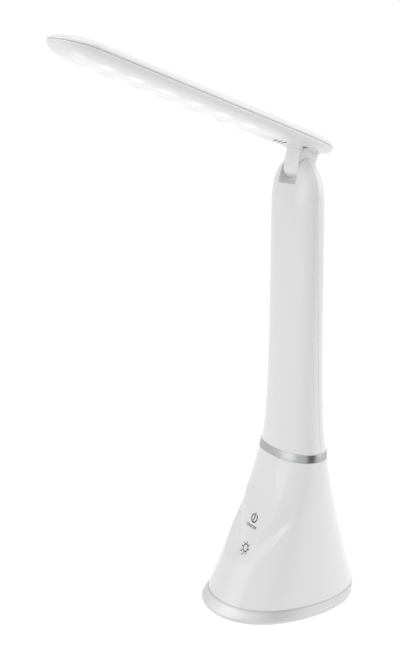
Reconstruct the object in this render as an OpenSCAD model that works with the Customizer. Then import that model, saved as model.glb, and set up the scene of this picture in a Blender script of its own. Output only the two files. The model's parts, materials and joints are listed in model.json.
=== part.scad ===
// Folding LED desk lamp: a flared base with a scooped touch panel, a slim two-shell column
// with a clevis at its top, and a boat-shaped LED head that folds down against the column.
// Millimetres. Z is up, the front faces -Y, and the origin is the centre of the foot on the table.

/* [Base] */
// Width of the foot on the table
base_w = 92.6; // [84:0.1:110]
// Length of the foot, front to back
base_l = 121.5; // [112:0.1:140]
// Height of the silver foot band's top above the table
foot_h = 9.8; // [8:0.1:14]
// How much narrower than the foot the white cone starts, on each side
cone_inset = 1.7; // [0.8:0.1:4]
// How far the cone's lower edge sits behind the foot's centre
cone_set = 3.1; // [0:0.1:6]
// Wall of the base shell
base_wall = 2.2; // [1.6:0.1:3]
// Sideways flare, 1 is a straight cone
side_flare = 1.25; // [1:0.01:2]
// Flare of the front and the back, 1 is a straight cone
end_flare = 1.12; // [1:0.01:2]

/* [Waist] */
// Height of the base shell's top, under the trim ring
waist_z = 114.1; // [104:0.1:126]
// Width of the base shell's top
waist_w = 64.8; // [60:0.1:70]
// Length of the base shell's top, front to back
waist_l = 40; // [38:0.1:46]
// How far the waist sits behind the foot's centre
waist_set = 11.6; // [8:0.1:15]
// Height of the trim ring
ring_h = 5.65; // [3:0.05:9]
// How much narrower the ring's top is, on each side
ring_taper = 0.9; // [0.4:0.1:1.6]
// Thickness of the trim ring
ring_wall = 1.9; // [1.2:0.1:2.6]

/* [Touch panel] */
// Height of the panel's centre
panel_z = 65; // [60:0.5:72]
// Depth of the panel below the cone at that height
panel_in = 6.6; // [4:0.1:8]
// Lean of the panel from upright, in degrees
panel_lean = 21.3; // [17:0.1:25]
// Height of the lowest point of the scoop's lip
scoop_z = 35.5; // [30:0.5:40]
// Half width over which the lip climbs
scoop_half = 32; // [28:0.5:36]
// How far the lip climbs over that half width
scoop_rise = 34; // [28:0.5:40]
// Run of the sloping wall from the lip's lowest point into the scoop
lip_run = 5; // [4:0.5:8]
// How much longer that wall grows beside the panel
lip_growth = 11.8; // [8:0.2:13]
// Depth of the hollow round the panel's lower end
hollow_in = 8.4; // [7:0.1:8.8]

/* [Column] */
// Height of the hinge axis above the table
hinge_z = 325; // [300:1:350]
// How far the hinge axis sits behind the foot's centre
hinge_y = 11; // [9:0.1:13]
// Width of the column just under its domed top
col_w = 52.2; // [50:0.1:60]
// Depth of the column just under its domed top
col_d = 23.2; // [21.4:0.1:27]
// How much wider the column is at its foot, on each side, before the flare
col_taper = 1.4; // [0.5:0.1:2]
// Flare at the column's foot, on each side
foot_flare = 3.4; // [2:0.1:4]
// Wall of the column shells
col_wall = 2; // [1.6:0.1:2.4]
// Height of the dome over the hinge axis
dome_h = 8.4; // [7.8:0.1:10]

/* [Hinge] */
// Radius of the knuckle
knuckle_r = 6.9; // [6.4:0.1:7.3]
// Width of the knuckle between the ears
knuckle_w = 19.8; // [18:0.1:21]
// Gap between the knuckle and each ear
ear_gap = 0.4; // [0.3:0.05:0.6]
// Radius of the hinge pin
pin_r = 2.5; // [2:0.05:2.7]
// Radial clearance of the pin in the knuckle
pin_fit = 0.05; // [0.03:0.01:0.1]
// Width of the neck
neck_w = 17.9; // [16:0.1:18.5]
// Length of the neck where it meets the head
neck_l = 17.6; // [16:0.1:18.5]
// Head above the horizontal in the drawn position, in degrees
head_tilt = 19; // [-60:1:55]

/* [Head] */
// Half width of the head
head_half = 27.3; // [25:0.1:31]
// Reach of the head's tip from the hinge
head_reach = 202.5; // [195:0.5:205]
// Overhang of the head behind the hinge
head_back = 17.3; // [16:0.1:24]
// Distance from the hinge axis to the head's parting line
head_lift = 19.4; // [18.6:0.1:22]
// Depth of the hull below the parting line
hull_d = 6.5; // [5.8:0.1:7.4]
// Height of the cover above the parting line
cover_h = 6.5; // [6:0.1:8]
// Wall of both head shells
head_wall = 1.6; // [1.2:0.1:2]
// Dark gap along the parting line
parting_gap = 0.5; // [0.3:0.1:0.8]

/* [LED strip] */
// Distance from the last LED to the head's tip
led_tip = 13.9; // [12:0.1:24]
// Distance of the first LED from the hinge
led_first = 55.4; // [52:0.1:58]
// Number of LEDs
led_count = 7; // [5:1:7]
// Side of an LED
led_size = 5; // [3:0.5:6]

/* [Hidden] */

play = 0.2;             // clearance between parts that only sit in each other
over = 1;               // how far a cutting shape runs past what it cuts
oval_k = 2.2;           // roundness of the base's outline, 2 is an ellipse
col_k = 2.4;            // roundness of the column's outline
round_n = 60;           // points round the base
$fn = 48;

white = "#f4f4f2";
silver = "#b9bbbd";
steel = "#9a9da0";
board_green = "#2f6b45";

// ---------------------------------------------------------------- outlines and skins

function signed_pow(v, p) = sign(v) * pow(abs(v), p);
function smooth(t) = let (c = min(1, max(0, t))) c * c * (3 - 2 * c);
function soft_max(a, b, r) = let (h = max(0, r - abs(a - b)) / r) max(a, b) + h * h * r / 4;
// Points of a rounded oval, counterclockwise
function oval(a, b, k, n) = [for (i = [0:n - 1]) let (t = 360 * i / n)
    [a * signed_pow(cos(t), 2 / k), b * signed_pow(sin(t), 2 / k)]];
function lifted(pts, y, z) = [for (p = pts) [p.x, p.y + y, z]];

// A closed skin through rings that all have the same number of points
module skin(rings) {
    n = len(rings[0]);
    last = (len(rings) - 1) * n;
    sides = [for (j = [0:len(rings) - 2], i = [0:n - 1])
        let (a = j * n + i, b = j * n + (i + 1) % n)
        each [[a, a + n, b + n], [a, b + n, b]]];
    polyhedron(points = [for (r = rings) each r],
        faces = concat([[for (i = [0:n - 1]) i]], sides, [[for (i = [n - 1:-1:0]) last + i]]),
        convexity = 8);
}

module oval_prism(a, b, k, y, z0, z1) {
    translate([0, y, z0]) linear_extrude(z1 - z0) polygon(oval(a, b, k, round_n));
}

// A round bar from one point to another
module bar(p, q, r) {
    d = q - p;
    translate(p) rotate([0, acos(d.z / norm(d)), atan2(d.y, d.x)]) cylinder(r = r, h = norm(d));
}

// A round wire through a list of points, with a ball at each bend
module wire(pts, r) {
    for (i = [0:len(pts) - 2]) bar(pts[i], pts[i + 1], r);
    for (i = [1:len(pts) - 2]) translate(pts[i]) sphere(r = r * 1.03);
}

base_screw_l = 11;
board_screw_l = 6.2;
tray_screw_l = 7;
deck_screw_l = 12;
bracket_screw_l = 7.5;
head_screw_l = 6.2;
screw_bite = 2.4;                               // how far the short screws run into plastic

// A pan-head screw whose head's underside is at the origin and whose shank runs down
module screw(shank_r, length, head_r, head_h) {
    translate([0, 0, -length]) cylinder(r = shank_r, h = length + head_h / 2);
    difference() {
        cylinder(r = head_r, h = head_h);
        for (a = [0, 90]) rotate(a) translate([-head_r * 0.6, -head_r * 0.13, head_h * 0.45])
            cube([head_r * 1.2, head_r * 0.26, head_h]);
    }
}

// ---------------------------------------------------------------- base shell

cone_half = base_w / 2 - cone_inset;
cone_end = base_l / 2 - cone_inset * 1.6;
waist_front = waist_set - waist_l / 2;
waist_rear = waist_set + waist_l / 2;

// Share of the way from the foot up to the waist
function climb(z) = min(1, max(0, (z - foot_h) / (waist_z - foot_h)));
function flared(low, high, z, p) = high + (low - high) * pow(1 - climb(z), p);
function cone_a(z) = flared(cone_half, waist_w / 2, z, side_flare);
function cone_front(z) = flared(cone_set - cone_end, waist_front, z, end_flare);
function cone_rear(z) = flared(cone_set + cone_end, waist_rear, z, end_flare);
function cone_mid(z) = cone_set + (waist_set - cone_set) * climb(z);
// The cone's front face before the scoop, at a distance x from the middle
function cone_face(x, z) = let (s = min(1, abs(x) / cone_a(z)))
    cone_mid(z) - (cone_mid(z) - cone_front(z)) * pow(1 - pow(s, oval_k), 1 / oval_k);

panel_y = cone_front(panel_z) + panel_in;       // the panel's centre
scoop_top = waist_z - 2;                        // the scoop has run out here
fade_z = panel_z + 5;                           // and starts to run out here
icon_zs = [panel_z, panel_z - 21];              // heights of the two touch fields
hollow_fade = 40;                               // height over which the hollow runs out upwards
function panel_plane(z) = panel_y - tan(panel_lean) * (panel_z - z);
function scoop_floor(z) = let (keep = 1 - smooth((z - fade_z) / (scoop_top - fade_z)))
    cone_front(z) + (panel_plane(z) - cone_front(z)) * keep;
function lip_z(x) = scoop_z + scoop_rise * pow(abs(x) / scoop_half, 3.5);
function hollow(z) = hollow_in * (1 - smooth((z - icon_zs[1]) / hollow_fade));
// The wall's share of the full depth: a crisp lip, a softer foot, and a longer run beside the panel
wall_half = 18;                                 // the run has grown in full at this distance from the middle
function wall_run(x) = let (out = min(abs(x), wall_half) / wall_half)
    lip_run + lip_growth * out * out * 1.22 / (out + 0.22);
function lip_wall(x, z) = let (t = min(1, max(0, (z - lip_z(x)) / wall_run(x)))) 0.4 * t + 0.6 * smooth(t);
// How deep the scoop is cut into the cone's front at a point of its face
function dip(x, z) = lip_wall(x, z) * max(0, soft_max(hollow(z), scoop_floor(z) - cone_face(x, z), 0.8));

// Half width of the cone at y and z, set in by a wall thickness
function wall_x(y, z, inset) = let (b = (cone_rear(z) - cone_front(z)) / 2 - inset)
    (cone_a(z) - inset) * pow(1 - pow(abs(y - cone_mid(z)) / b, oval_k), 1 / oval_k);

// One ring of the cone, set in by a wall thickness, with its points closer together at the front
function cone_ring(z, inset, n) = [for (i = [0:n - 1])
    let (s = 360 * i / n, t = s - 24 * cos(s), u = signed_pow(cos(t), 2 / oval_k), v = signed_pow(sin(t), 2 / oval_k),
        x = (cone_a(z) - inset) * u,
        reach = (v < 0 ? cone_mid(z) - cone_front(z) : cone_rear(z) - cone_mid(z)) - inset,
        cut = v < 0 ? dip(cone_a(z) * u, z) : 0)
    [x, cone_mid(z) + reach * v + cut, z]];

scoop_zs = [for (i = [0:15]) scoop_z + 2.8 * i * (1 + i / 40)];
shell_zs = concat([for (i = [0:4]) foot_h + (scoop_z - foot_h) * i / 5], scoop_zs,
    [for (i = [1:4]) scoop_zs[15] + (waist_z - scoop_zs[15]) * i / 4]);
deck_h = 2.5;                                   // the deck that closes the base shell's top
// The inside follows the outside's rings where the scoop's wall is steep
core_zs = concat([foot_h - over, (foot_h + scoop_z) / 2], [for (i = [0:6]) scoop_zs[i]],
    [for (i = [8:2:14]) scoop_zs[i]], [for (i = [0:2]) scoop_zs[15] + (waist_z - deck_h - scoop_zs[15]) * i / 2]);

boss_xy = [for (x = [-1, 1], y = [27.75 - base_l / 2, base_l / 2 - 25.75]) [x * (base_w / 2 - 19.8), y]];
boss_r = 4;
boss_top = 20;
plate_z = 0.5;                                  // underside of the base plate
plate_t = 1.7;
plate_in = 0.2;                                 // its edge stays this far inside the foot's outline
plate_top = plate_z + plate_t;
pad_h = 2.2;                                    // height of the plate's pads under the bosses
core_r = 1.25;                                  // pilot hole of a small screw
screw_seat = plate_z + 2;                       // where the base screws' heads bear

lead_r = 1.8;
lead_hole = lead_r + 0.6;
deck_xy = [for (x = [-1, 1], y = [-1, 1]) [x * (waist_w / 2 - 11.9), waist_set + 0.4 + y * 8.2]];
deck_screw_r = 1.4;

// Puts children on the touch panel: Z comes out of the panel, Y runs up it
module on_panel(z) {
    translate([0, panel_plane(z), z]) rotate([90 - panel_lean, 0, 0]) children();
}

post_xz = [[-13, panel_z + 15], [13, panel_z + 15], [0, panel_z - 10.5]];
post_len = 6.5;                                 // from the panel's inner face to the board
socket_w = 9;
socket_h = 3.4;
socket_z = 21;

module base_shell() {
    color(white) difference() {
        union() {
            difference() {
                skin([for (z = shell_zs) cone_ring(z, 0, round_n)]);
                skin([for (z = core_zs) cone_ring(z, base_wall, 40)]);
            }
            // screw bosses for the base plate, each with a rib that ends inside the wall
            for (p = boss_xy) translate([p.x, p.y, plate_top + pad_h])
                cylinder(r = boss_r, h = boss_top - plate_top - pad_h);
            for (p = boss_xy) {
                reach = wall_x(p.y, boss_top - 2, base_wall / 2) - abs(p.x);
                translate([p.x > 0 ? p.x : p.x - reach, p.y - 1, foot_h])
                    cube([reach, 2, boss_top - 2 - foot_h]);
            }
            // posts that carry the main board behind the panel
            for (p = post_xz) on_panel(p[1]) translate([p[0], 0, -base_wall - post_len])
                cylinder(r = 2.6, h = post_len + base_wall * 0.6);
        }
        for (p = boss_xy) translate([p.x, p.y, plate_top]) cylinder(r = core_r, h = base_screw_l + 1);
        for (p = post_xz) on_panel(p[1]) translate([p[0], 0, -base_wall - post_len - over])
            cylinder(r = core_r, h = post_len + over - 1);
        for (p = deck_xy) translate([p.x, p.y, waist_z - deck_h - over])
            cylinder(r = deck_screw_r + play, h = deck_h + 2 * over);
        translate([0, waist_set, waist_z - deck_h - over]) cylinder(r = lead_hole, h = deck_h + 2 * over);
        translate([0, cone_rear(socket_z), socket_z]) rotate([90, 0, 0])
            linear_extrude(4 * base_wall, center = true) rounded_slot(socket_w, socket_h, play);
    }
}

// A slot with round ends
module rounded_slot(w, h, grow) {
    r = h / 2 + grow;
    square([w - h, 2 * r], center = true);
    for (x = [-1, 1]) translate([x * (w - h) / 2, 0]) circle(r = r);
}

// ---------------------------------------------------------------- foot and base internals

band_out = 0.3;                                 // the band stands proud of the cone
band_t = 2.8;
band_zs = [plate_top, plate_top + 1.2, plate_top + 4.2, foot_h];
function band_ring(z, inset) = let (f = smooth((z - plate_top) / (foot_h - plate_top)) * 0.5
        + 0.5 * (z - plate_top) / (foot_h - plate_top), nip = z == plate_top ? 0.5 : 0)
    lifted(oval(base_w / 2 - nip - inset - (cone_inset - band_out) * f,
        base_l / 2 - nip - inset - (base_l / 2 - cone_end - band_out) * f, oval_k, round_n),
        cone_set * f, z);

module foot_ring() {
    color(silver) difference() {
        skin([for (z = band_zs) band_ring(z, 0)]);
        skin([band_ring_flat(plate_top - over), band_ring_flat(foot_h + over)]);
    }
}

function band_ring_flat(z) = lifted(oval(cone_half - band_t, cone_end - band_t, oval_k, round_n),
    cone_set / 2, z);

ballast_w = 42;
ballast_l = 68;
ballast_h = 8;
tray_z = plate_top + ballast_h;                 // the tray lies on the ballast weight
tray_t = 2;
tray_post_r = 3;
charger_t = 1.2;
charger_l = 15;                                 // side of the charging board
charger_z = socket_z - socket_h / 2 - charger_t;    // its underside
charger_y = cone_rear(charger_z + charger_t) - base_wall - 0.8 - charger_l / 2;
peg_y = charger_y - 4;
cell_r = 9.1;
cell_l = 65;
cell_y = charger_y - cell_l / 2 - 12.5;
cell_z = tray_z + tray_t + cell_r + 0.8;
tray_post_y = [cell_y - cell_l / 2 - 8, charger_y - 5.5];   // posts that the tray is screwed to
tray_w = 30;
tray_front = tray_post_y[0] - 3.5;
tray_rear = peg_y + 6.5;
ballast_y = cell_y - 1.7;
pad_t = 1.2;                                    // rubber pad, part of it let into the plate
pad_edge = 5;                                   // how far the pad stays inside the foot's outline

module base_plate() {
    color(white) difference() {
        union() {
            oval_prism(base_w / 2 - plate_in, base_l / 2 - plate_in, oval_k, 0, plate_z, plate_top);
            for (p = boss_xy) translate([p.x, p.y, plate_z]) cylinder(r = 5, h = plate_t + pad_h);
            for (y = tray_post_y) translate([0, y, plate_z]) cylinder(r = tray_post_r, h = tray_z - plate_z);
        }
        for (p = boss_xy) translate([p.x, p.y, plate_z - over]) {
            cylinder(r = 1.6 + play, h = 10);
            cylinder(r = 3.2, h = screw_seat - plate_z + over);
        }
        for (y = tray_post_y) translate([0, y, plate_top + 1]) cylinder(r = core_r, h = tray_z);
        oval_prism(base_w / 2 - pad_edge + play, base_l / 2 - pad_edge + play, oval_k, 0, plate_z - over, pad_t);
    }
}

// Non-slip pad, stuck over the screws
module rubber_pad() {
    color("#3a3a3c") oval_prism(base_w / 2 - pad_edge, base_l / 2 - pad_edge, oval_k, 0, 0, pad_t);
}

module base_screws() {
    color(steel) for (p = boss_xy) translate([p.x, p.y, screw_seat]) rotate([180, 0, 0])
        screw(core_r, base_screw_l, 2.9, screw_seat - pad_t);
}

module rounded_box(w, l, h, r) {
    linear_extrude(h) {
        square([w - 2 * r, l], center = true);
        square([w, l - 2 * r], center = true);
        for (x = [-1, 1], y = [-1, 1]) translate([x * (w / 2 - r), y * (l / 2 - r)]) circle(r = r);
    }
}

module ballast_weight() {
    color(steel) translate([0, ballast_y, plate_top]) rounded_box(ballast_w, ballast_l, ballast_h, 6);
}

module battery_tray() {
    color("#d8d8d6") difference() {
        union() {
            translate([0, (tray_front + tray_rear) / 2, tray_z])
                rounded_box(tray_w, tray_rear - tray_front, tray_t, 6);
            // end walls and two saddles for the cell
            for (y = [-1, 1]) translate([-8, cell_y + y * (cell_l / 2 + play + 1) - 1, tray_z])
                cube([16, 2, cell_z - tray_z + 3]);
            for (y = [-1, 1]) translate([-11, cell_y + y * cell_l / 4 - 2, tray_z])
                cube([22, 4, cell_z - tray_z - 2]);
            for (x = [-1, 1]) translate([x * 5, peg_y, tray_z]) {
                cylinder(r = 2, h = charger_z - tray_z);
                cylinder(r = 0.9, h = charger_z - tray_z + charger_t + 0.6);
            }
        }
        translate([0, cell_y, cell_z]) rotate([90, 0, 0])
            cylinder(r = cell_r + 0.1, h = cell_l + 0.2, center = true);
        for (y = tray_post_y) translate([0, y, tray_z - over]) cylinder(r = 1.5, h = tray_t + 2 * over);
    }
}

module tray_screws() {
    color(steel) for (y = tray_post_y) translate([0, y, tray_z + tray_t]) screw(core_r, tray_screw_l, 2.4, 1.4);
}

module battery_cell() {
    color("#4f7fb0") translate([0, cell_y, cell_z]) rotate([90, 0, 0]) {
        cylinder(r = cell_r, h = cell_l - 1.2, center = true);
        cylinder(r = 3, h = cell_l, center = true);
    }
}

board_in = base_wall + post_len;                // board's face below the panel
board_low = -27;
board_high = 22;
board_w = 34;
board_t = 1.6;

module main_board() {
    color(board_green) difference() {
        on_panel(panel_z) union() {
            translate([-board_w / 2, board_low, -board_in - board_t])
                cube([board_w, board_high - board_low, board_t]);
            // controller, charger chip and a connector on the back
            for (c = [[-6, 4, 9, 9], [6, -14, 6, 5], [-8, -16, 5, 4]])
                translate([c[0] - c[2] / 2, c[1] - c[3] / 2, -board_in - 3]) cube([c[2], c[3], 1.5]);
        }
        for (p = post_xz) on_panel(p[1]) translate([p[0], 0, -board_in - 3]) cylinder(r = 1.5, h = 4);
    }
}

module board_screws() {
    color(steel) for (p = post_xz) on_panel(p[1]) translate([p[0], 0, -board_in - board_t])
        rotate([180, 0, 0]) screw(core_r, board_screw_l, 2.2, 1.3);
}

touch_r = 4.2;                                  // radius of a touch pad
touch_play = 0.35;                              // least gap from a pad to the back of the panel
// How far the skin lies behind the panel's plane, at most, over the touch pad at a height
function skin_sink(z) = cos(panel_lean) * max([for (x = [0, touch_r - 0.4], d = [-touch_r, 0, touch_r])
    cone_face(x, z + d) + dip(x, z + d) - panel_plane(z + d)]);

// Conductive pads between the board and the back of the panel, one behind each icon
module touch_pads() {
    color("#55585c") for (z = icon_zs) on_panel(z) translate([0, 0, -board_in])
        cylinder(r = touch_r, h = post_len - touch_play - skin_sink(z));
}

module charging_board() {
    color(board_green) difference() {
        translate([0, charger_y, charger_z]) rounded_box(charger_l, charger_l, charger_t, 1);
        for (x = [-1, 1]) translate([x * 5, peg_y, charger_z - over]) cylinder(r = 0.9, h = charger_t + 2 * over);
    }
}

socket_mouth = cone_rear(socket_z) - 1.2;       // the socket is set back behind the skin
socket_l = 7.4;

module charging_socket() {
    color(steel) translate([0, socket_mouth, socket_z]) rotate([90, 0, 0]) difference() {
        linear_extrude(socket_l) rounded_slot(socket_w, socket_h, 0);
        translate([0, 0, -over]) linear_extrude(socket_l - 1 + over) difference() {
            rounded_slot(socket_w, socket_h, -0.35);
            square([socket_w - 3, 0.7], center = true);
        }
    }
}

// ---------------------------------------------------------------- trim ring and column

col_z = waist_z + ring_h;                       // lower edge of the visible column
ring_a = waist_w / 2 - ring_taper;              // half width and half length of the ring's top
ring_b = waist_l / 2 - ring_taper;
col_step = 0.5;                                 // the ring stands proud of the column
col_set = waist_set + 0.5;                      // middle of the column's foot
spigot_in = ring_wall - col_step + play;        // the column's spigot inside the ring
col_deepen = 2.2;                               // how much deeper the foot is, before the flare
flare_power = 8;
dome_top = hinge_z + dome_h;
shoulder_h = 28.4;                              // height over which the width rounds in
nose_h = 43.4;                                  // height over which the depth rounds in

function rise(z) = min(1, max(0, (z - col_z) / (hinge_z - col_z)));
function dome(z, h, k) = z < dome_top - h ? 1 : pow(max(0, 1 - pow((z - dome_top + h) / h, k)), 1 / k);
function col_a(z) = let (r = 1 - rise(z), flare = ring_a - col_step - col_w / 2 - col_taper)
    (col_w / 2 + col_taper * r + flare * pow(r, flare_power)) * dome(z, shoulder_h, 2.3);
function col_b(z) = let (r = 1 - rise(z), flare = ring_b - col_step - col_d / 2 - col_deepen)
    (col_d / 2 + col_deepen * r + flare * pow(r, flare_power)) * dome(z, nose_h, 2.2);
function col_mid(z) = hinge_y + (col_set - hinge_y) * (1 - pow(rise(z), 2));
function col_power(z) = oval_k + (col_k - oval_k) * smooth(rise(z) * 4);
function col_ring(z, inset, n) = lifted(oval(col_a(z) - inset, col_b(z) - inset, col_power(z), n), col_mid(z), z);
function spigot_ring(z) = lifted(oval(col_a(col_z) - spigot_in, col_b(col_z) - spigot_in, oval_k, 44),
    col_mid(col_z), z);

ear_x = knuckle_w / 2 + ear_gap;                // inner face of each ear
slot_z = hinge_z - knuckle_r - 2.5;             // floor of the clevis slot
block_z = slot_z - 12.6;                        // underside of the solid block below the slot
col_zs = concat([for (i = [0:7]) col_z + 70 * pow(i / 7, 1.6)],
    [for (i = [1:4]) col_z + 70 + (dome_top - nose_h - col_z - 70) * i / 4],
    [for (a = [12:8:84]) dome_top - nose_h * (1 - sin(a))], [dome_top - 0.06, dome_top - 0.004]);
cavity_top = block_z;
cavity_zs = concat([waist_z - over, col_z + 1.5, col_z + 4.5],
    [for (i = [1:4]) col_z + 4.5 + 60 * pow(i / 4, 1.4)],
    [for (i = [1:4]) col_z + 64.5 + (cavity_top - col_z - 64.5) * i / 4]);

// The two shells meet on a plane that leans back a little
seam_y = waist_set + 3.5;
seam_lean = 0.03;
seam_gap = 0.1;
function seam(z) = seam_y - seam_lean * (z - col_z);
module seam_side(side, gap) {
    z0 = waist_z - 5;
    z1 = dome_top + 5;
    rotate([90, 0, 90]) linear_extrude(2 * col_w, center = true)
        polygon([[seam(z0) + side * gap, z0], [side * 200, z0], [side * 200, z1], [seam(z1) + side * gap, z1]]);
}

cheek_x = ear_x + 1.2;                          // inner face of each bracket cheek
cheek_t = 1.2;
cheek_r = 4.4;
head_r = 3.4;                                   // pin head and nut
head_t = 2;
bracket_t = 1.2;
bracket_half = 6.5;
bracket_y = [hinge_y - bracket_half, hinge_y + bracket_half];   // front and rear edge of its foot
bracket_hole_x = 8;
bracket_hole_y = 4.6;
bracket_xy = [for (x = [-1, 1], y = [-1, 1]) [x * bracket_hole_x, hinge_y + y * bracket_hole_y]];

module hinge_axis() {
    translate([0, hinge_y, hinge_z]) rotate([0, 90, 0]) children();
}

// Everything that is cut out of the column's head
module clevis_cuts() {
    translate([-ear_x, hinge_y - col_d, slot_z]) cube([2 * ear_x, 2 * col_d, dome_h + 40]);
    for (s = [-1, 1]) {
        translate([s * (cheek_x + cheek_t / 2) - cheek_t / 2 - play / 2, hinge_y - cheek_r - play, block_z - over])
            cube([cheek_t + play, 2 * (cheek_r + play), hinge_z - block_z + over]);
        hinge_axis() translate([0, 0, s * (cheek_x + cheek_t / 2)])
            cylinder(r = cheek_r + play, h = cheek_t + play, center = true);
        hinge_axis() translate([0, 0, s * (cheek_x + cheek_t + head_t / 2)])
            cylinder(r = head_r + play, h = head_t + play, center = true);
    }
    hinge_axis() cylinder(r = pin_r + 0.1, h = 2 * cheek_x + over, center = true);
    translate([0, hinge_y, block_z - over]) cylinder(r = lead_hole, h = slot_z - block_z + 2 * over);
    for (p = bracket_xy) translate([p.x, p.y, block_z - over]) cylinder(r = core_r, h = bracket_screw_l + 0.5 + over);
}

module column_shell(side) {
    difference() {
        union() {
            difference() {
                union() {
                    skin([for (z = col_zs) col_ring(z, 0, 44)]);
                    skin([spigot_ring(waist_z), spigot_ring(col_z + over)]);
                }
                skin([for (z = cavity_zs) let (foot = 1 - smooth((z - col_z - 1.5) / 3))
                    col_ring(z, col_wall + spigot_in * foot, 36)]);
            }
            for (p = deck_xy) translate([p.x, p.y, waist_z]) cylinder(r = 3.2, h = deck_screw_l + 5);
        }
        for (p = deck_xy) translate([p.x, p.y, waist_z - over]) cylinder(r = core_r, h = deck_screw_l);
        clevis_cuts();
        seam_side(-side, -seam_gap / 2);
    }
}

module column_front_shell() {
    color(white) column_shell(-1);
}

module column_rear_shell() {
    color(white) column_shell(1);
}

module trim_ring() {
    color(silver) difference() {
        skin([lifted(oval(waist_w / 2, waist_l / 2, oval_k, round_n), waist_set, waist_z),
            lifted(oval(ring_a, ring_b, oval_k, round_n), col_set, col_z)]);
        oval_prism(ring_a - ring_wall, ring_b - ring_wall, oval_k, col_set, waist_z - over, col_z + over);
    }
}

module column_screws() {
    color(steel) for (p = deck_xy) translate([p.x, p.y, waist_z - deck_h]) rotate([180, 0, 0])
        screw(core_r, deck_screw_l, 2.6, 1.6);
}

// ---------------------------------------------------------------- hinge

module hinge_bracket() {
    color(steel) difference() {
        union() {
            translate([-cheek_x - cheek_t, bracket_y[0], block_z - bracket_t])
                cube([2 * (cheek_x + cheek_t), bracket_y[1] - bracket_y[0], bracket_t]);
            for (s = [-1, 1]) {
                translate([s * (cheek_x + cheek_t / 2) - cheek_t / 2, hinge_y - cheek_r, block_z - bracket_t])
                    cube([cheek_t, 2 * cheek_r, hinge_z - block_z + bracket_t]);
                hinge_axis() translate([0, 0, s * (cheek_x + cheek_t / 2)])
                    cylinder(r = cheek_r, h = cheek_t, center = true);
            }
        }
        hinge_axis() cylinder(r = pin_r + 0.02, h = 4 * cheek_x, center = true);
        translate([0, hinge_y, block_z - 3]) cylinder(r = lead_hole, h = 6);
        for (p = bracket_xy) translate([p.x, p.y, block_z - 3]) cylinder(r = core_r + play, h = 6);
    }
}

module bracket_screws() {
    color(steel) for (p = bracket_xy) translate([p.x, p.y, block_z - bracket_t]) rotate([180, 0, 0])
        screw(core_r, bracket_screw_l, 2.3, 1.4);
}

module hinge_pin() {
    far = cheek_x + cheek_t;
    color(steel) hinge_axis() {
        translate([0, 0, -far]) cylinder(r = pin_r, h = 2 * far + head_t);
        translate([0, 0, -far - head_t]) cylinder(r = head_r, h = head_t);
    }
}

module hinge_nut() {
    color(steel) hinge_axis() translate([0, 0, cheek_x + cheek_t]) difference() {
        cylinder(r = head_r, h = head_t, $fn = 6);
        translate([0, 0, -over]) cylinder(r = pin_r, h = head_t + 2 * over);
    }
}

washer_play = 0.04;

module friction_washers() {
    color("#2d2d2f") hinge_axis() for (s = [-1, 1])
        translate([0, 0, s * (ear_x - (ear_gap - washer_play) / 2)]) difference() {
            cylinder(r = knuckle_r - 1.3, h = ear_gap - washer_play, center = true);
            cylinder(r = pin_r + 0.1, h = 2, center = true);
        }
}

// The lead leaves the main board's back and runs up to the floor of the clevis slot
lead_up = 19;                                   // where the lead leaves the board, up from the panel's centre
lead_out = 6;                                   // straight length there
lead_bend = 12;                                 // last bend below the waist
lead_root = [0, panel_plane(panel_z) + lead_up * sin(panel_lean) + (board_in + board_t) * cos(panel_lean),
    panel_z + lead_up * cos(panel_lean) - (board_in + board_t) * sin(panel_lean)];
lead_pts = [lead_root, lead_root + lead_out * [0, cos(panel_lean), -sin(panel_lean)],
    [0, waist_set - 4.6, waist_z - lead_bend], [0, waist_set, waist_z - 4], [0, waist_set, col_z + 8],
    [0, hinge_y, col_z + 40], [0, hinge_y, slot_z - 1]];

module column_lead() {
    color("#dcdcda") wire(lead_pts, lead_r);
}

// ---------------------------------------------------------------- head

// The head's own frame: origin on the hinge axis, -Y along the head to its tip, Z out of its back
module head_frame() {
    translate([0, hinge_y, hinge_z]) rotate([-head_tilt, 0, 0]) children();
}

nose_l = 23.7;                                  // length over which the tip rounds in
tail_l = 46;                                    // length over which the back end rounds in
// Roundness of the plan at a station u along the head: 1 on the straight sides, 0 at the ends
function plan(u) = let (f = max(0, u - head_reach + nose_l) / nose_l, r = max(0, tail_l - head_back - u) / tail_l)
    pow(max(0, 1 - pow(f, 1.73)), 1 / 1.73) * pow(max(0, 1 - pow(r, 2.7)), 1 / 2.7);
head_us = concat([for (a = [3, 12, 22, 33, 45, 58, 72]) tail_l * (1 - cos(a)) - head_back],
    [for (i = [0:4]) let (u0 = tail_l - head_back, u1 = head_reach - nose_l) u0 + (u1 - u0) * i / 4],
    [for (a = [10:10:60]) head_reach - nose_l * (1 - sin(a))],
    [for (d = [2.2, 1.1, 0.35, 0.04]) head_reach - d]);
hull_k = 2.86;
cover_k = 2.73;
head_mid = (head_reach - head_back) / 2;

function arc(w, d, k, n) = [for (i = [0:n]) let (p = 180 * i / n - 90)
    [w * sin(p), -d * pow(max(0, 1 - pow(abs(sin(p)), k)), 1 / k)]];
function station(pts, u, set) = [for (p = pts) [p[0], -(head_mid + (u - head_mid) * set), head_lift + p[1]]];
// Share of the head's length that is left when its ends are set in
function length_share(set) = 1 - 2 * set / (head_reach + head_back);
// Sections of the hull, open upwards, with sides and bottom set in
function hull_sections(side, bottom, above, n) = [for (u = head_us)
    let (w = (head_half - side) * plan(u), d = (hull_d - bottom) * pow(plan(u), 1.28))
    station(concat(arc(w, d, hull_k, n), above > 0 ? [[w, above], [-w, above]] : []), u, length_share(side))];
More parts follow.
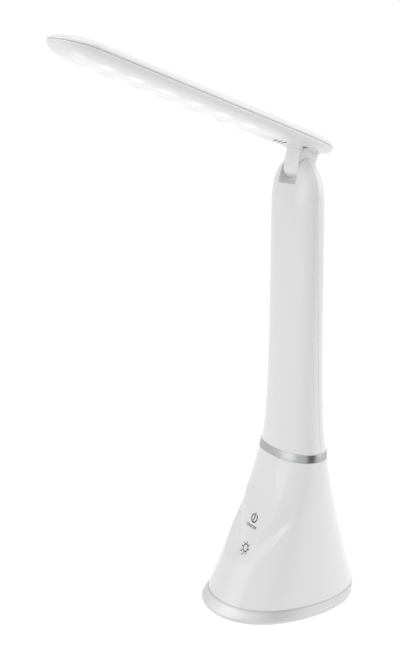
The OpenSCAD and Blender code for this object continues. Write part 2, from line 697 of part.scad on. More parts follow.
// Sections of the cover, open downwards
function cover_sections(side, top, below, n) = [for (u = head_us)
    let (w = (head_half - side) * plan(u), d = (cover_h - top) * pow(plan(u), 0.75))
    station(concat([for (p = arc(w, d, cover_k, n)) [-p[0], parting_gap - p[1]]],
        below > 0 ? [[-w, -below], [w, -below]] : []), u, length_share(side))];

led_pitch = (head_reach - led_tip - led_first) / (led_count - 1);
collar_h = 1.5;                                 // collar of the hull round the neck, below its underside
collar_t = 0.9;
lip_t = 0.8;                                    // lip of the hull that locates the cover
rim_in = head_wall + 0.35;
strip_screw_us = [for (i = [0.5, led_count / 2, led_count - 1.5]) led_first + led_pitch * i];
head_screw_x = 11.8;
head_screw_u = 7.3;
flange_z = head_lift - 2.2;                     // underside of the neck's flange
flange_t = 1.8;
flange_y = 3.4;                                 // middle of the flange's wide arm
flange_w = 28.6;
tongue_w = 16.4;                                // the flange's front tongue
tongue_l = 5.6;                                 // how much longer than the neck it is
neck_screw_xy = [for (x = [-1, 1])
    each [[x * (tongue_w / 2 - 3.6), -neck_l / 2 - 2.5], [x * (flange_w / 2 - 2.5), flange_y]]];
floor_z = head_lift - hull_d + head_wall;       // inner floor of the hull

module neck_plan(grow, h) {
    rounded_box(neck_w + 2 * grow, neck_l + 2 * grow, h, 2.5 + grow);
}

module head_hull() {
    color(white) head_frame() difference() {
        union() {
            difference() {
                union() {
                    skin(hull_sections(0, 0, 0, 20));
                    skin([for (u = head_us) let (w = (head_half - rim_in) * plan(u))
                        station([[-w, -0.8], [w, -0.8], [w, 1], [-w, 1]], u, length_share(rim_in))]);
                }
                skin(hull_sections(rim_in + lip_t, head_wall, 3, 16));
            }
            translate([0, 0, head_lift - hull_d - collar_h])
                neck_plan(play + collar_t, floor_z - head_lift + hull_d + collar_h);
            for (p = neck_screw_xy) translate([p.x, p.y, floor_z - head_wall / 2])
                cylinder(r = 2.2, h = flange_z - floor_z + head_wall / 2);
            for (x = [-1, 1]) translate([x * head_screw_x, -head_screw_u, floor_z - head_wall / 2])
                cylinder(r = 3.4, h = head_lift - 1 - floor_z + head_wall / 2);
        }
        translate([0, 0, head_lift - hull_d - 3]) neck_plan(play, 8);
        for (p = neck_screw_xy) translate([p.x, p.y, floor_z - 0.9]) cylinder(r = core_r - 0.3, h = 6);
        for (x = [-1, 1]) translate([x * head_screw_x, -head_screw_u, head_lift - hull_d - over]) {
            cylinder(r = 2.2, h = hull_d - 3.4 + over);
            cylinder(r = 1.2, h = hull_d + over);
        }
        vents();
    }
}

vent_w = 1.3;

// Three slanting cooling slots in front of the neck
module vents() {
    for (i = [0:2]) translate([-3.2 + 1.5 * i, -22.8 + 2.7 * i, head_lift - hull_d - over])
        rotate(-14) linear_extrude(4) rounded_slot(12 + 1.8 * i, vent_w, 0);
}

module head_cover() {
    color(white) head_frame() difference() {
        union() {
            difference() {
                skin(cover_sections(0, 0, 0, 20));
                skin(cover_sections(head_wall, head_wall, 2, 16));
            }
            for (u = strip_screw_us) translate([0, -u, strip_z + strip_t])
                cylinder(r = 2.4, h = cover_h + parting_gap - head_wall / 2 - strip_z - strip_t + head_lift);
            for (x = [-1, 1]) translate([x * head_screw_x, -head_screw_u, head_lift - 0.8])
                cylinder(r = 2.8, h = cover_h - head_wall / 2 + 0.9);
        }
        for (u = strip_screw_us) translate([0, -u, strip_z]) cylinder(r = 0.9, h = strip_t + 3);
        for (x = [-1, 1]) translate([x * head_screw_x, -head_screw_u, head_lift - 1]) cylinder(r = 0.9, h = 5);
    }
}

strip_w = 12;
strip_t = 1.2;
strip_z = head_lift + 1;                        // underside of the LED board
chip_t = 1;
trough_t = 0.8;
strip_back = led_first - 10;
strip_front = led_first + led_pitch * (led_count - 1) + 6;
led_us = [for (i = [0:led_count - 1]) led_first + led_pitch * i];

module led_board() {
    color("#e8e8e4") head_frame() difference() {
        translate([-strip_w / 2, -strip_front, strip_z]) cube([strip_w, strip_front - strip_back, strip_t]);
        for (u = strip_screw_us) translate([0, -u, strip_z - over]) cylinder(r = 1.2, h = strip_t + 2 * over);
    }
}

module led_chips() {
    color("#f6e7a8") head_frame() for (u = led_us)
        translate([-led_size / 2, -u - led_size / 2, strip_z - chip_t]) cube([led_size, led_size, chip_t]);
}

trough_half = 18;

// White trough under the LED board: a bent sheet with a window under each LED
module reflector() {
    z = strip_z - chip_t - trough_t;
    color("#f7f7f5") head_frame() difference() {
        union() {
            intersection() {
                translate([0, -strip_back, z]) rotate([90, 0, 0]) linear_extrude(strip_front - strip_back)
                    polygon([[-trough_half, -1.8], [-11, 0], [11, 0], [trough_half, -1.8],
                        [trough_half, -1.8 + trough_t], [11, trough_t], [-11, trough_t],
                        [-trough_half, -1.8 + trough_t]]);
                translate([0, 0, z - 5]) linear_extrude(10) {
                    translate([-trough_half, -strip_front + trough_half])
                        square([2 * trough_half, strip_front - strip_back - trough_half]);
                    translate([0, -strip_front + trough_half]) circle(r = trough_half);
                }
            }
            for (u = strip_screw_us) translate([0, -u, z + trough_t / 2])
                cylinder(r = 2.2, h = chip_t + trough_t / 2);
        }
        for (u = led_us) translate([0, -u, z - over])
            cylinder(r = led_size * 0.5 + 1.4, h = trough_t + chip_t + over);
        for (u = strip_screw_us) translate([0, -u, z - over]) cylinder(r = 1.2, h = 5);
    }
}

module strip_screws() {
    color(steel) head_frame() for (u = strip_screw_us) translate([0, -u, strip_z - chip_t - trough_t])
        rotate([180, 0, 0]) screw(0.9, strip_t + chip_t + trough_t + screw_bite, 1.9, 1.1);
}

module head_screws() {
    color(steel) head_frame() for (x = [-1, 1])
        translate([x * head_screw_x, -head_screw_u, head_lift - 3.4]) rotate([180, 0, 0])
            screw(0.9, head_screw_l, 1.9, 1.4);
}

lead2_r = 1.1;
channel_x = 4;
channel_y = 4.8;

module neck_block() {
    color(white) head_frame() difference() {
        union() {
            rotate([0, 90, 0]) rotate_extrude() roller_profile(knuckle_r, knuckle_w / 2, 2.6);
            intersection() {
                rotate([90, 0, 90]) linear_extrude(neck_w, center = true)
                    polygon([[-knuckle_r + 0.2, 0], [knuckle_r - 0.2, 0], [neck_l / 2, head_lift - hull_d],
                        [neck_l / 2, flange_z], [-neck_l / 2, flange_z], [-neck_l / 2, head_lift - hull_d]]);
                neck_plan(0, flange_z);
            }
            translate([0, 0.5 - tongue_l / 2, flange_z]) rounded_box(tongue_w, neck_l + tongue_l, flange_t, 3);
            translate([0, flange_y, flange_z]) rounded_box(flange_w, 7.8, flange_t, 3);
        }
        rotate([0, 90, 0]) cylinder(r = pin_r + pin_fit, h = knuckle_w + 2, center = true);
        translate([channel_x, channel_y, -knuckle_r]) cylinder(r = lead2_r + 0.3, h = 40);
        for (p = neck_screw_xy) translate([p.x, p.y, flange_z - over])
            cylinder(r = core_r, h = flange_t + 2 * over);
    }
}

// Half profile of a roller with rounded rims, for rotate_extrude
module roller_profile(r, half, rim) {
    translate([0, -half]) square([r - rim, 2 * half]);
    translate([0, -half + rim]) square([r, 2 * (half - rim)]);
    for (s = [-1, 1]) translate([r - rim, s * (half - rim)]) circle(r = rim);
}

module neck_screws() {
    color(steel) head_frame() for (p = neck_screw_xy) translate([p.x, p.y, flange_z + flange_t])
        screw(core_r - 0.3, flange_t + screw_bite, 2, 1.2);
}

module head_lead() {
    top = strip_z + strip_t + lead2_r;
    color("#dcdcda") head_frame()
        wire([[channel_x, channel_y, -3], [channel_x, channel_y, top], [0, -strip_back - 4, top]], lead2_r);
}

base_shell();
foot_ring();
base_plate();
rubber_pad();
base_screws();
ballast_weight();
battery_tray();
tray_screws();
battery_cell();
main_board();
board_screws();
touch_pads();
charging_board();
charging_socket();
trim_ring();
column_front_shell();
column_rear_shell();
column_screws();
hinge_bracket();
bracket_screws();
hinge_pin();
hinge_nut();
friction_washers();
column_lead();
neck_block();
neck_screws();
head_hull();
head_cover();
led_board();
led_chips();
reflector();
strip_screws();
head_screws();
head_lead();
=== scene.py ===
import bmesh
import bpy
import json
import math
import numpy as np
from mathutils import Matrix, Vector


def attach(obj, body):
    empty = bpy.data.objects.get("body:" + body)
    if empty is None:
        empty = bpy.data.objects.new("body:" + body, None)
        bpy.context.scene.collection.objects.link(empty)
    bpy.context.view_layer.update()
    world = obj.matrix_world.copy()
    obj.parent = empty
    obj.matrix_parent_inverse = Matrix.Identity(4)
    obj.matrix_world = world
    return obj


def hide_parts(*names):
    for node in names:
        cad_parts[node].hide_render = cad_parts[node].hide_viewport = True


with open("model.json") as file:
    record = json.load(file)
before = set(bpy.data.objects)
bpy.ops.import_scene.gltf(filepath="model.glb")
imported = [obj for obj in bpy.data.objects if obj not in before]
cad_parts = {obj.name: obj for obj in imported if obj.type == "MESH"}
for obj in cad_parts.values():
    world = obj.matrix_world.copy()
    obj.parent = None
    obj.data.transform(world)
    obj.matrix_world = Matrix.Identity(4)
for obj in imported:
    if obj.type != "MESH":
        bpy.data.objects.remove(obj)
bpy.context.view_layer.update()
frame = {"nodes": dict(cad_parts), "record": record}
scene = bpy.context.scene
nodes = frame["nodes"]
mm = 0.001

# camera: place in mm, angles in degrees, worked out from the lamp's own outline
view = dict(place=(585.3, -410.1, 374.7), yaw=59.79, pitch=12.92, roll=0.02, lens=55.34, sensor=36, farEnd=20)
cameraData = bpy.data.cameras.new("camera")
cameraData.lens = view["lens"]
cameraData.sensor_width = view["sensor"]
cameraData.clip_end = view["farEnd"]
camera = bpy.data.objects.new("camera", cameraData)
scene.collection.objects.link(camera)
camera.location = [v * mm for v in view["place"]]
camera.rotation_euler = [math.radians(v) for v in (90 - view["pitch"], view["roll"], view["yaw"])]
scene.camera = camera
scene.view_settings.view_transform = "Standard"
print("stage: camera set")


# shapes as arrays, in millimetres
def ramp(t):    # 0 before 0, 1 after 1, and t squared times (3 - 2t) between
    c = np.clip(t, 0, 1)
    return c * c * (3 - 2 * c)


def signedPower(v, p):    # a power of the size, with the sign kept
    return np.sign(v) * np.abs(v) ** p


def softMax(a, b, r):    # the larger of two, rounded where they are closer than r
    h = np.maximum(0, r - np.abs(a - b)) / r
    return np.maximum(a, b) + h * h * r / 4


# half width a and half length b times the superellipse of power k at angle t, about (0, y) at height z
def ovalRing(a, b, k, y, z, t):
    a, b, k, y, z = (np.asarray(v, float)[..., None] for v in np.broadcast_arrays(a, b, k, y, z))
    x = a * signedPower(np.cos(t), 2 / k)
    return np.stack([x, y + b * signedPower(np.sin(t), 2 / k), z + 0 * x], -1)


# a grid of points, rows by columns: columns close on themselves, rows may, and an open end gets a face
def gridMesh(name, grid, rowsClose=False, caps=(False, False), merge=False, sharp=35):
    rows, cols = grid.shape[:2]
    i = np.arange(rows if rowsClose else rows - 1)[:, None]
    j = np.arange(cols)[None, :]
    i2, j2 = (i + 1) % rows, (j + 1) % cols
    quads = np.stack([i * cols + j, i * cols + j2, i2 * cols + j2, i2 * cols + j], -1).reshape(-1, 4)
    faces = quads.tolist()
    if caps[0]:
        faces.append(list(range(cols))[::-1])
    if caps[1]:
        faces.append(list(range((rows - 1) * cols, rows * cols)))
    mesh = bpy.data.meshes.new(name)
    mesh.from_pydata((grid.reshape(-1, 3) * mm).tolist(), [], faces)
    cleanMesh(mesh, merge, sharp)
    return mesh


# doubles merged where asked, faces turned outwards, smooth with sharp edges kept
def cleanMesh(mesh, merge, sharp):
    bm = bmesh.new()
    bm.from_mesh(mesh)
    if merge:
        bmesh.ops.remove_doubles(bm, verts=bm.verts, dist=1e-6)
        bmesh.ops.dissolve_degenerate(bm, edges=bm.edges, dist=1e-7)
    if bm.calc_volume(signed=True) < 0:
        bmesh.ops.reverse_faces(bm, faces=bm.faces)
    bm.to_mesh(mesh)
    bm.free()
    mesh.shade_smooth()
    mesh.set_sharp_from_angle(angle=math.radians(sharp))


def makePiece(name, mesh, body, slot, material, *stands):
    piece = bpy.data.objects.new(name, mesh)
    scene.collection.objects.link(piece)
    mesh.materials.clear()
    mesh.materials.append(material)
    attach(piece, body)
    if stands:
        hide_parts(*stands)


# joins solids to a mesh, takes others out of it, and gives the mesh that is left
def carve(mesh, cutters, sharp, adds=()):
    piece = bpy.data.objects.new("carving", mesh)
    scene.collection.objects.link(piece)
    tools = []
    for shape, operation in [(add, "UNION") for add in adds] + [(cutter, "DIFFERENCE") for cutter in cutters]:
        tool = bpy.data.objects.new("tool", shape)
        scene.collection.objects.link(tool)
        tools.append(tool)
        step = piece.modifiers.new("step", "BOOLEAN")
        step.operation = operation
        step.solver = "EXACT"
        step.object = tool
    bpy.context.view_layer.update()
    done = bpy.data.meshes.new_from_object(piece.evaluated_get(bpy.context.evaluated_depsgraph_get()))
    for thing in [piece] + tools:
        bpy.data.objects.remove(thing)
    done.shade_smooth()
    done.set_sharp_from_angle(angle=math.radians(sharp))
    return done


# a straight prism: a closed outline in X and Y between two heights, then placed by a matrix
def prism(outline, low, high, place=None):
    outline = np.asarray(outline, float)
    grid = np.stack([np.column_stack([outline, np.full(len(outline), z)]) for z in (low, high)])
    if place is not None:
        grid = grid @ np.array(place.to_3x3()).T + np.array(place.translation)
    return gridMesh("prism", grid, caps=(True, True))


# a slot with round ends: two half circles, moved apart along X, then turned in degrees and placed
def slotOutline(width, height, turn=0, at=(0, 0), n=24):
    t = np.linspace(-90, 270, 2 * n, endpoint=False) * math.pi / 180
    r = height / 2
    x = np.cos(t) * r + np.where(np.cos(t) > 1e-9, 1, -1) * (width / 2 - r)
    y = np.sin(t) * r
    c, s = math.cos(math.radians(turn)), math.sin(math.radians(turn))
    return np.column_stack([at[0] + c * x - s * y, at[1] + s * x + c * y])


def circleOutline(r, at, n=40):
    t = np.linspace(0, 2 * math.pi, n, endpoint=False)
    return np.column_stack([at[0] + r * np.cos(t), at[1] + r * np.sin(t)])


def boxMesh(low, high):
    (x0, y0, z0), (x1, y1, z1) = low, high
    return prism([(x0, y0), (x1, y0), (x1, y1), (x0, y1)], z0, z1)


# materials
class Wire:    # a shader socket that can be added, multiplied and compared
    def __init__(self, kit, socket):
        self.kit = kit
        self.socket = socket

    def __add__(self, other):
        return self.kit.maths("ADD", self, other)

    def __radd__(self, other):
        return self.kit.maths("ADD", other, self)

    def __sub__(self, other):
        return self.kit.maths("SUBTRACT", self, other)

    def __rsub__(self, other):
        return self.kit.maths("SUBTRACT", other, self)

    def __mul__(self, other):
        return self.kit.maths("MULTIPLY", self, other)

    def __rmul__(self, other):
        return self.kit.maths("MULTIPLY", other, self)

    def __truediv__(self, other):
        return self.kit.maths("DIVIDE", self, other)

    def __rtruediv__(self, other):
        return self.kit.maths("DIVIDE", other, self)

    def most(self, other):
        return self.kit.maths("MAXIMUM", self, other)

    def least(self, other):
        return self.kit.maths("MINIMUM", self, other)

    def size(self):
        return self.kit.maths("ABSOLUTE", self)

    def clip(self):
        return self.most(0.0).least(1.0)

    def eased(self):    # the same curve as ramp
        c = self.clip()
        return c * c * (3.0 - 2.0 * c)


class Kit:    # a node tree, and the one method that its nodes come from
    def __init__(self, tree):
        self.tree = tree

    def node(self, kind, settings={}, values={}, out=0):
        made = self.tree.nodes.new(kind)
        for key, value in settings.items():
            setattr(made, key, value)
        for key, value in values.items():
            self.feed(made.inputs[key], value)
        return Wire(self, made.outputs[out])

    def feed(self, socket, value):
        if isinstance(value, Wire):
            self.tree.links.new(value.socket, socket)
        else:
            socket.default_value = value

    def maths(self, operation, *values):
        return self.node("ShaderNodeMath", {"operation": operation}, dict(enumerate(values)))

    def outputs(self, wire, *names):    # other outputs of the node that a wire starts from
        return [Wire(self, wire.socket.node.outputs[name]) for name in names]

    def split(self, vector):
        return self.outputs(self.node("ShaderNodeSeparateXYZ", {}, {0: vector}), "X", "Y", "Z")


class Finish(Kit):    # one material and the few nodes it is made of
    def __init__(self, name):
        self.material = bpy.data.materials.new(name)
        self.material.use_nodes = True
        super().__init__(self.material.node_tree)
        self.shader = self.tree.nodes["Principled BSDF"]

    def coords(self, name="Object"):
        return self.node("ShaderNodeTexCoord", {}, {}, name)

    def noise(self, vector, scale, detail=2.0, rough=0.5):
        values = {"Vector": vector, "Scale": scale, "Detail": detail, "Roughness": rough}
        return self.node("ShaderNodeTexNoise", {}, values)

    def blend(self, mask, low, high):    # a Mix node's inputs 6 and 7 and its output 2 are its colours
        return self.node("ShaderNodeMix", {"data_type": "RGBA"}, {"Factor": mask, 6: low, 7: high}, 2)

    def bump(self, height, distance):
        return self.node("ShaderNodeBump", {}, {"Height": height, "Distance": distance, "Strength": 1.0})

    def fill(self, **values):    # the shader's own sockets, with _ for the space in their names
        for key, value in values.items():
            self.feed(self.shader.inputs[key.replace("_", " ")], value)
        return self.material


def grey(v, tint=0.0):    # a level as it shows on screen, made linear, with a slight blue tint
    linear = ((v + 0.055) / 1.055) ** 2.4 if v > 0.04 else v / 12.92
    return (linear * (1 - tint), linear, linear * (1 + tint), 1)


def mixed(levels, step=0):    # one level or three, moved by a step and made linear
    levels = levels if isinstance(levels, tuple) else (levels,) * 3
    return tuple(grey(v + step)[0] for v in levels) + (1,)


black = (0, 0, 0, 1)
moulding = dict(cloud=18.0, cloudGloss=0.05, grainGloss=0.04, grainScale=2000, ior=1.49, coatRough=0.08)
drawing = dict(cloud=30.0, streakShare=0.7, cloudShare=0.3, gloss=0.12, detail=4.0, rough=0.6)


# moulded plastic: a slow drift of tone and gloss, and a very fine grain
def plastic(name, tone, rough, grain=0.000002, grainScale=moulding["grainScale"], drift=0.012, coat=0.0):
    kit = Finish(name)
    at = kit.coords()
    cloud = kit.noise(at, moulding["cloud"])
    fine = kit.noise(at, grainScale)
    colour = kit.blend(cloud, mixed(tone, -drift), mixed(tone, drift))
    gloss = (cloud - 0.5) * moulding["cloudGloss"] + (fine - 0.5) * moulding["grainGloss"] + rough
    return kit.fill(Base_Color=colour, Roughness=gloss, IOR=moulding["ior"], Coat_Weight=coat,
                    Coat_Roughness=moulding["coatRough"], Normal=kit.bump(fine, grain))


# metal with fine drawn lines that run round Z, or along an axis; a shade fade is (high, low, share), painted
# shade at the top:
# what is above the first height keeps only that share of its tone, and what is below the second keeps it all
def metal(name, tone, rough, lines=(900, 900, 40), depth=0.000004, drift=0.02, tint=0.01, metallic=1.0,
          shadeFade=None):
    kit = Finish(name)
    at = kit.coords()
    stretched = kit.node("ShaderNodeMapping", {}, {"Vector": at, "Scale": lines})
    streak = kit.noise(stretched, 1.0, drawing["detail"], drawing["rough"])
    cloud = kit.noise(at, drawing["cloud"])
    mask = (streak * drawing["streakShare"] + cloud * drawing["cloudShare"]).clip()
    colour = kit.blend(mask, grey(tone - drift, tint), grey(tone + drift, tint))
    if shadeFade:
        high, low, share = shadeFade
        climb = (kit.split(at)[2] - low * mm) / ((high - low) * mm)
        colour = kit.blend(climb.eased() * (1 - share), colour, black)
    return kit.fill(Base_Color=colour, Metallic=metallic, Roughness=(streak - 0.5) * drawing["gloss"] + rough,
                    Normal=kit.bump(streak, depth))


white = plastic("whitePlastic", 0.945, 0.26, coat=0.2)
print("stage: first finishes made")

# base shell: oval sections that climb from the foot to the waist, with the scooped touch panel in front
base = dict(footZ=9.8, waistZ=114.1, halfLow=44.6, halfHigh=32.4, endLow=58.03, endHigh=20.0, setLow=3.1,
            setHigh=11.6, sideFlare=1.25, endFlare=1.12, roundness=2.2, wall=2.2, deck=2.5, edge=0.25,
            rows=210, innerRows=40, cols=300, crowding=0.42)
panel = dict(z=65.0, depth=6.6, lean=21.3, lipZ=35.5, lipHalf=32.0, lipRise=34.0, lipPower=3.5, lipRun=5.0,
             runGrowth=0.8, runHalf=18.0, runEase=4.0, hollow=8.4, sideHollow=0.06, sideStart=10, sideRun=14,
             lightZ=44.0, hollowFade=40.0, fadeZ=70.0, fadeTop=112.1, straight=0.4, round=0.5)
mouth = dict(width=9.4, height=3.8, z=21, reach=8)


def baseClimb(z):    # share of the way from the foot to the waist
    return np.clip((z - base["footZ"]) / (base["waistZ"] - base["footZ"]), 0, 1)


def baseHalf(z):    # half width: from halfHigh to halfLow with a power of what is left of the climb
    return base["halfHigh"] + (base["halfLow"] - base["halfHigh"]) * (1 - baseClimb(z)) ** base["sideFlare"]


def baseMid(z):    # the sections' middle moves back as they climb
    return base["setLow"] + (base["setHigh"] - base["setLow"]) * baseClimb(z)


def baseEnd(z, side):    # the front (-1) or rear (1) face in the middle plane
    low, high = base["setLow"] + side * base["endLow"], base["setHigh"] + side * base["endHigh"]
    return high + (low - high) * (1 - baseClimb(z)) ** base["endFlare"]


panelY = baseEnd(panel["z"], -1) + panel["depth"]


def panelPlane(z):    # the flat panel's Y, which moves back with height by the tangent of its lean
    return panelY - math.tan(math.radians(panel["lean"])) * (panel["z"] - z)


def ovalShare(x, z):    # how much of its depth a section still has beside its middle, by the superellipse
    s = np.minimum(1, np.abs(x) / baseHalf(z))
    return (1 - s ** base["roundness"]) ** (1 / base["roundness"])


# depth of the scoop: nothing below the lip's U-shaped line, then down over lipRun to the flat leaning panel,
# or to a soft hollow beside it, and out again towards the waist
def scoopDepth(x, z):
    face = baseMid(z) - (baseMid(z) - baseEnd(z, -1)) * ovalShare(x, z)
    keep = 1 - ramp((z - panel["fadeZ"]) / (panel["fadeTop"] - panel["fadeZ"]))
    floor = baseEnd(z, -1) + (panelPlane(z) - baseEnd(z, -1)) * keep
    lip = panel["lipZ"] + panel["lipRise"] * (np.abs(x) / panel["lipHalf"]) ** panel["lipPower"]
    hollow = panel["hollow"] * (1 - ramp((z - panel["lightZ"]) / panel["hollowFade"]))
    hollow = hollow * (1 + panel["sideHollow"] * ramp((np.abs(x) - panel["sideStart"]) / panel["sideRun"]))
    out = np.minimum(np.abs(x), panel["runHalf"])
    run = panel["lipRun"] + panel["runGrowth"] * out * out / (out + panel["runEase"])
    t = np.clip((z - lip) / run, 0, 1)
    slope = panel["straight"] * t + (1 - panel["straight"]) * ramp(t)
    return slope * np.maximum(0, softMax(hollow, floor - face, panel["round"]))


# the shell's outside at height z and angle t, set in by a wall: half width and reach times the powers of
# cosine and sine, pushed in by the scoop in front
def baseFace(z, t, inset=0.0):
    z = z[:, None]
    u, v = signedPower(np.cos(t), 2 / base["roundness"]), signedPower(np.sin(t), 2 / base["roundness"])
    reach = np.where(v < 0, baseMid(z) - baseEnd(z, -1), baseEnd(z, 1) - baseMid(z)) - inset
    dip = np.where(v < 0, scoopDepth(baseHalf(z) * u, z), 0)
    return np.stack([(baseHalf(z) - inset) * u + 0 * dip, baseMid(z) + reach * v + dip, z + 0 * dip], -1)


# the skin starts in the middle of the ceiling, runs down the inside, up the outside and in over the top
def buildBase():
    s = np.linspace(0, 2 * math.pi, base["cols"], endpoint=False)
    t = s - base["crowding"] * np.cos(s)    # more columns on the front
    top, edge, ceilingZ = base["waistZ"], base["edge"], base["waistZ"] - base["deck"]

    def closing(share, z, inset=0):
        return ovalRing((base["halfHigh"] - inset) * share, (base["endHigh"] - inset) * share,
                        base["roundness"], base["setHigh"], z, t)

    outer = baseFace(np.linspace(base["footZ"], top - edge, base["rows"]), t)
    inner = baseFace(np.linspace(base["footZ"], ceilingZ, base["innerRows"]), t, base["wall"])
    ceiling = np.stack([closing(share, ceilingZ) for share in (0.0, 0.4, 0.8)])
    lid = np.stack([closing(1, top, edge)] + [closing(share, top) for share in (0.8, 0.4, 0.0)])
    mesh = gridMesh("baseShell", np.concatenate([ceiling, inner[::-1], outer, lid]), merge=True, sharp=40)
    rear = Matrix.Translation((0, float(baseEnd(mouth["z"], 1)), mouth["z"]))
    hole = prism(slotOutline(mouth["width"], mouth["height"]), -mouth["reach"], mouth["reach"],
                 rear @ Matrix.Rotation(math.pi / 2, 4, "X"))
    makePiece("baseShell", carve(mesh, [hole], 40), "stand", "white_housing", white, "base_shell")


buildBase()
print("stage: base shell")

# foot and trim: silver band, white bottom plate with its thin lip, ring at the waist; in the trim's rows a
# point of the section is (share of the way up, height, how far inside)
foot = dict(low=2.2, high=9.8, halfLow=46.3, endLow=60.75, halfHigh=44.9, endHigh=58.33, set=3.1,
            roundness=2.2, wall=2.8, wallTop=-0.3, wallLow=0.9, lowRound=0.5, highRound=0.4, faceLow=0.08,
            faceHigh=0.93, upright=0.5, cols=240)
plate = dict(low=0.5, high=2.2, inset=0.2, lowRound=0.4, highRound=0.3, padEdge=4.8, padDepth=1.2,
             chamfer=0.1, heart=46.0, heartTop=20, bosses=[(-33.0, 26.5), (35.0, 26.5)], bossTop=4.4,
             bossRound=5.0, posts=(-37.87, 42.13), postTop=10.2, postRound=3.0, sunk=0.4, seatRound=3.2,
             seatTop=2.5, holeRound=1.8, holeTop=6, pilotRound=1.25, pilotLow=3.2, pilotTop=12)
trim = dict(halfs=(32.4, 31.5), ends=(20.0, 19.1), sets=(11.6, 12.1), roundness=2.2, cols=240,
            rows=[(0, 114.15, 0.25), (0, 114.4, 0), (1, 119.4, 0), (1, 119.68, 0.12), (1, 119.75, 0.4),
                  (1, 119.75, 1.6), (0, 114.15, 2.4)])


# closed profile carried round an oval: rows of (share of the way up, height, how far inside)
def ovalSweep(name, rows, halfs, ends, sets, roundness, cols, **more):
    t = np.linspace(0, 2 * math.pi, cols, endpoint=False)
    up, z, into = np.array(rows, float).T
    half = halfs[0] + (halfs[1] - halfs[0]) * up - into
    end = ends[0] + (ends[1] - ends[0]) * up - into
    return gridMesh(name, ovalRing(half, end, roundness, sets[0] + (sets[1] - sets[0]) * up, z, t), **more)


def roundEdges(low, high, lowRound, highRound, inset=0):    # quarter circles for a section's two outer edges
    q = np.linspace(0, math.pi / 2, 6)
    lowIn, highIn = inset + lowRound - lowRound * np.sin(q), inset + highRound - highRound * np.cos(q)
    return (np.column_stack([0 * q, low + lowRound - lowRound * np.cos(q), lowIn]),
            np.column_stack([0 * q, high - highRound + highRound * np.sin(q), highIn]))


def buildFoot():
    low, high = foot["low"], foot["high"]
    lowEdge, topEdge = roundEdges(low, high, foot["lowRound"], foot["highRound"])
    topEdge[:, 0] = 1
    s = np.linspace(foot["faceLow"], foot["faceHigh"], 16)
    leaning = foot["upright"] * s + (1 - foot["upright"]) * ramp(s)    # upright at first, then leaning in
    face = np.column_stack([leaning, low + (high - low) * s, 0 * s])
    back = [(1, high, foot["wall"] + foot["wallTop"]), (1, low, foot["wall"] + foot["wallLow"])]
    rows = np.concatenate([lowEdge, face, topEdge, back])
    mesh = ovalSweep("footBand", rows, (foot["halfLow"], foot["halfHigh"]), (foot["endLow"], foot["endHigh"]),
                     (0, foot["set"]), foot["roundness"], foot["cols"], rowsClose=True)
    makePiece("footBand", mesh, "stand", "silver_band", silverPaint, "foot_ring")


# white bottom plate: rounded edge, a recess for the pad, and the screws' seats and posts
def buildPlate():
    low, high, pad = plate["low"], plate["high"], plate["padDepth"]
    edge, heart, chamfer = plate["padEdge"], plate["heart"], plate["chamfer"]
    under = [(0, pad, heart), (0, pad, edge), (0, low + chamfer, edge), (0, low, edge - chamfer)]
    lowEdge, topEdge = roundEdges(low, high, plate["lowRound"], plate["highRound"], plate["inset"])
    rows = np.concatenate([under, lowEdge, topEdge, [(0, high, plate["heartTop"]), (0, high, heart)]])
    mesh = ovalSweep("footPlate", rows, (foot["halfLow"],) * 2, (foot["endLow"],) * 2, (0, 0),
                     foot["roundness"], foot["cols"], caps=(True, True))
    spots = [(side * x, y) for y, x in plate["bosses"] for side in (-1, 1)]
    posts = [(0, y) for y in plate["posts"]]
    root = pad + plate["sunk"]
    adds = [prism(circleOutline(plate["bossRound"], at), root, plate["bossTop"]) for at in spots]
    adds += [prism(circleOutline(plate["postRound"], at), root, plate["postTop"]) for at in posts]
    cuts = [prism(circleOutline(plate["seatRound"], at), -1, plate["seatTop"]) for at in spots]
    cuts += [prism(circleOutline(plate["holeRound"], at), -1, plate["holeTop"]) for at in spots]
    pilotLow, pilotTop = plate["pilotLow"], plate["pilotTop"]
    cuts += [prism(circleOutline(plate["pilotRound"], at), pilotLow, pilotTop) for at in posts]
    makePiece("footPlate", carve(mesh, cuts, 35, adds), "stand", "white_plate", plateWhite, "base_plate")


def buildTrim():
    mesh = ovalSweep("trimBand", trim["rows"], trim["halfs"], trim["ends"], trim["sets"], trim["roundness"],
                     trim["cols"], rowsClose=True)
    makePiece("trimBand", mesh, "stand", "silver_trim", brushedRing, "trim_ring")


# the band is painted darker towards its top, as shade under the edge of the base shell
silverPaint = metal("silverPaint", 0.86, 0.5, lines=(25, 25, 1300), drift=0.06, tint=0.0, metallic=0.5,
                    shadeFade=(9.8, 7.8, 0.72))
brushedRing = metal("brushedRing", 0.67, 0.34, lines=(40, 40, 2400), depth=0.000006, drift=0.09)
plateWhite = plastic("plateWhite", 0.95, 0.42, grain=0.000008)
buildFoot()
buildPlate()
buildTrim()
print("stage: foot and trim")

# column: two shells that meet on a leaning plane, domed at the top and slotted for the neck
column = dict(low=119.75, hingeZ=325.0, hingeY=11.0, half=26.1, depth=11.6, taper=1.4, deepen=2.2,
              ringHalf=31.0, ringDepth=18.6, flare=8, foot=12.1, top=333.4, tip=0.004, shoulder=28.4,
              shoulderPower=2.3, nose=43.4, nosePower=2.2, footPower=2.2, power=2.4, wall=2.0, blockZ=303.0,
              slotZ=315.6, slotTop=380, slotFront=-40, slotRear=60, ear=10.3, slopeY=6.0, slope=0.2,
              slopeRun=20, kink=60, rows=(40, 40, 70))
spigot = dict(low=114.1, high=119.74, inset=1.6)
seam = dict(y=15.1, lean=0.03, gap=0.1, edge=0.28, edgeLimit=0.5)
cavity = dict(lowZ=(112.0, 121.3, 124.3), startZ=130, rows=26, stepZ=121.25, stepRun=3, step=1.6, cols=64)


def columnRise(z):    # share of the way from the ring to the hinge
    return np.clip((z - column["low"]) / (column["hingeZ"] - column["low"]), 0, 1)


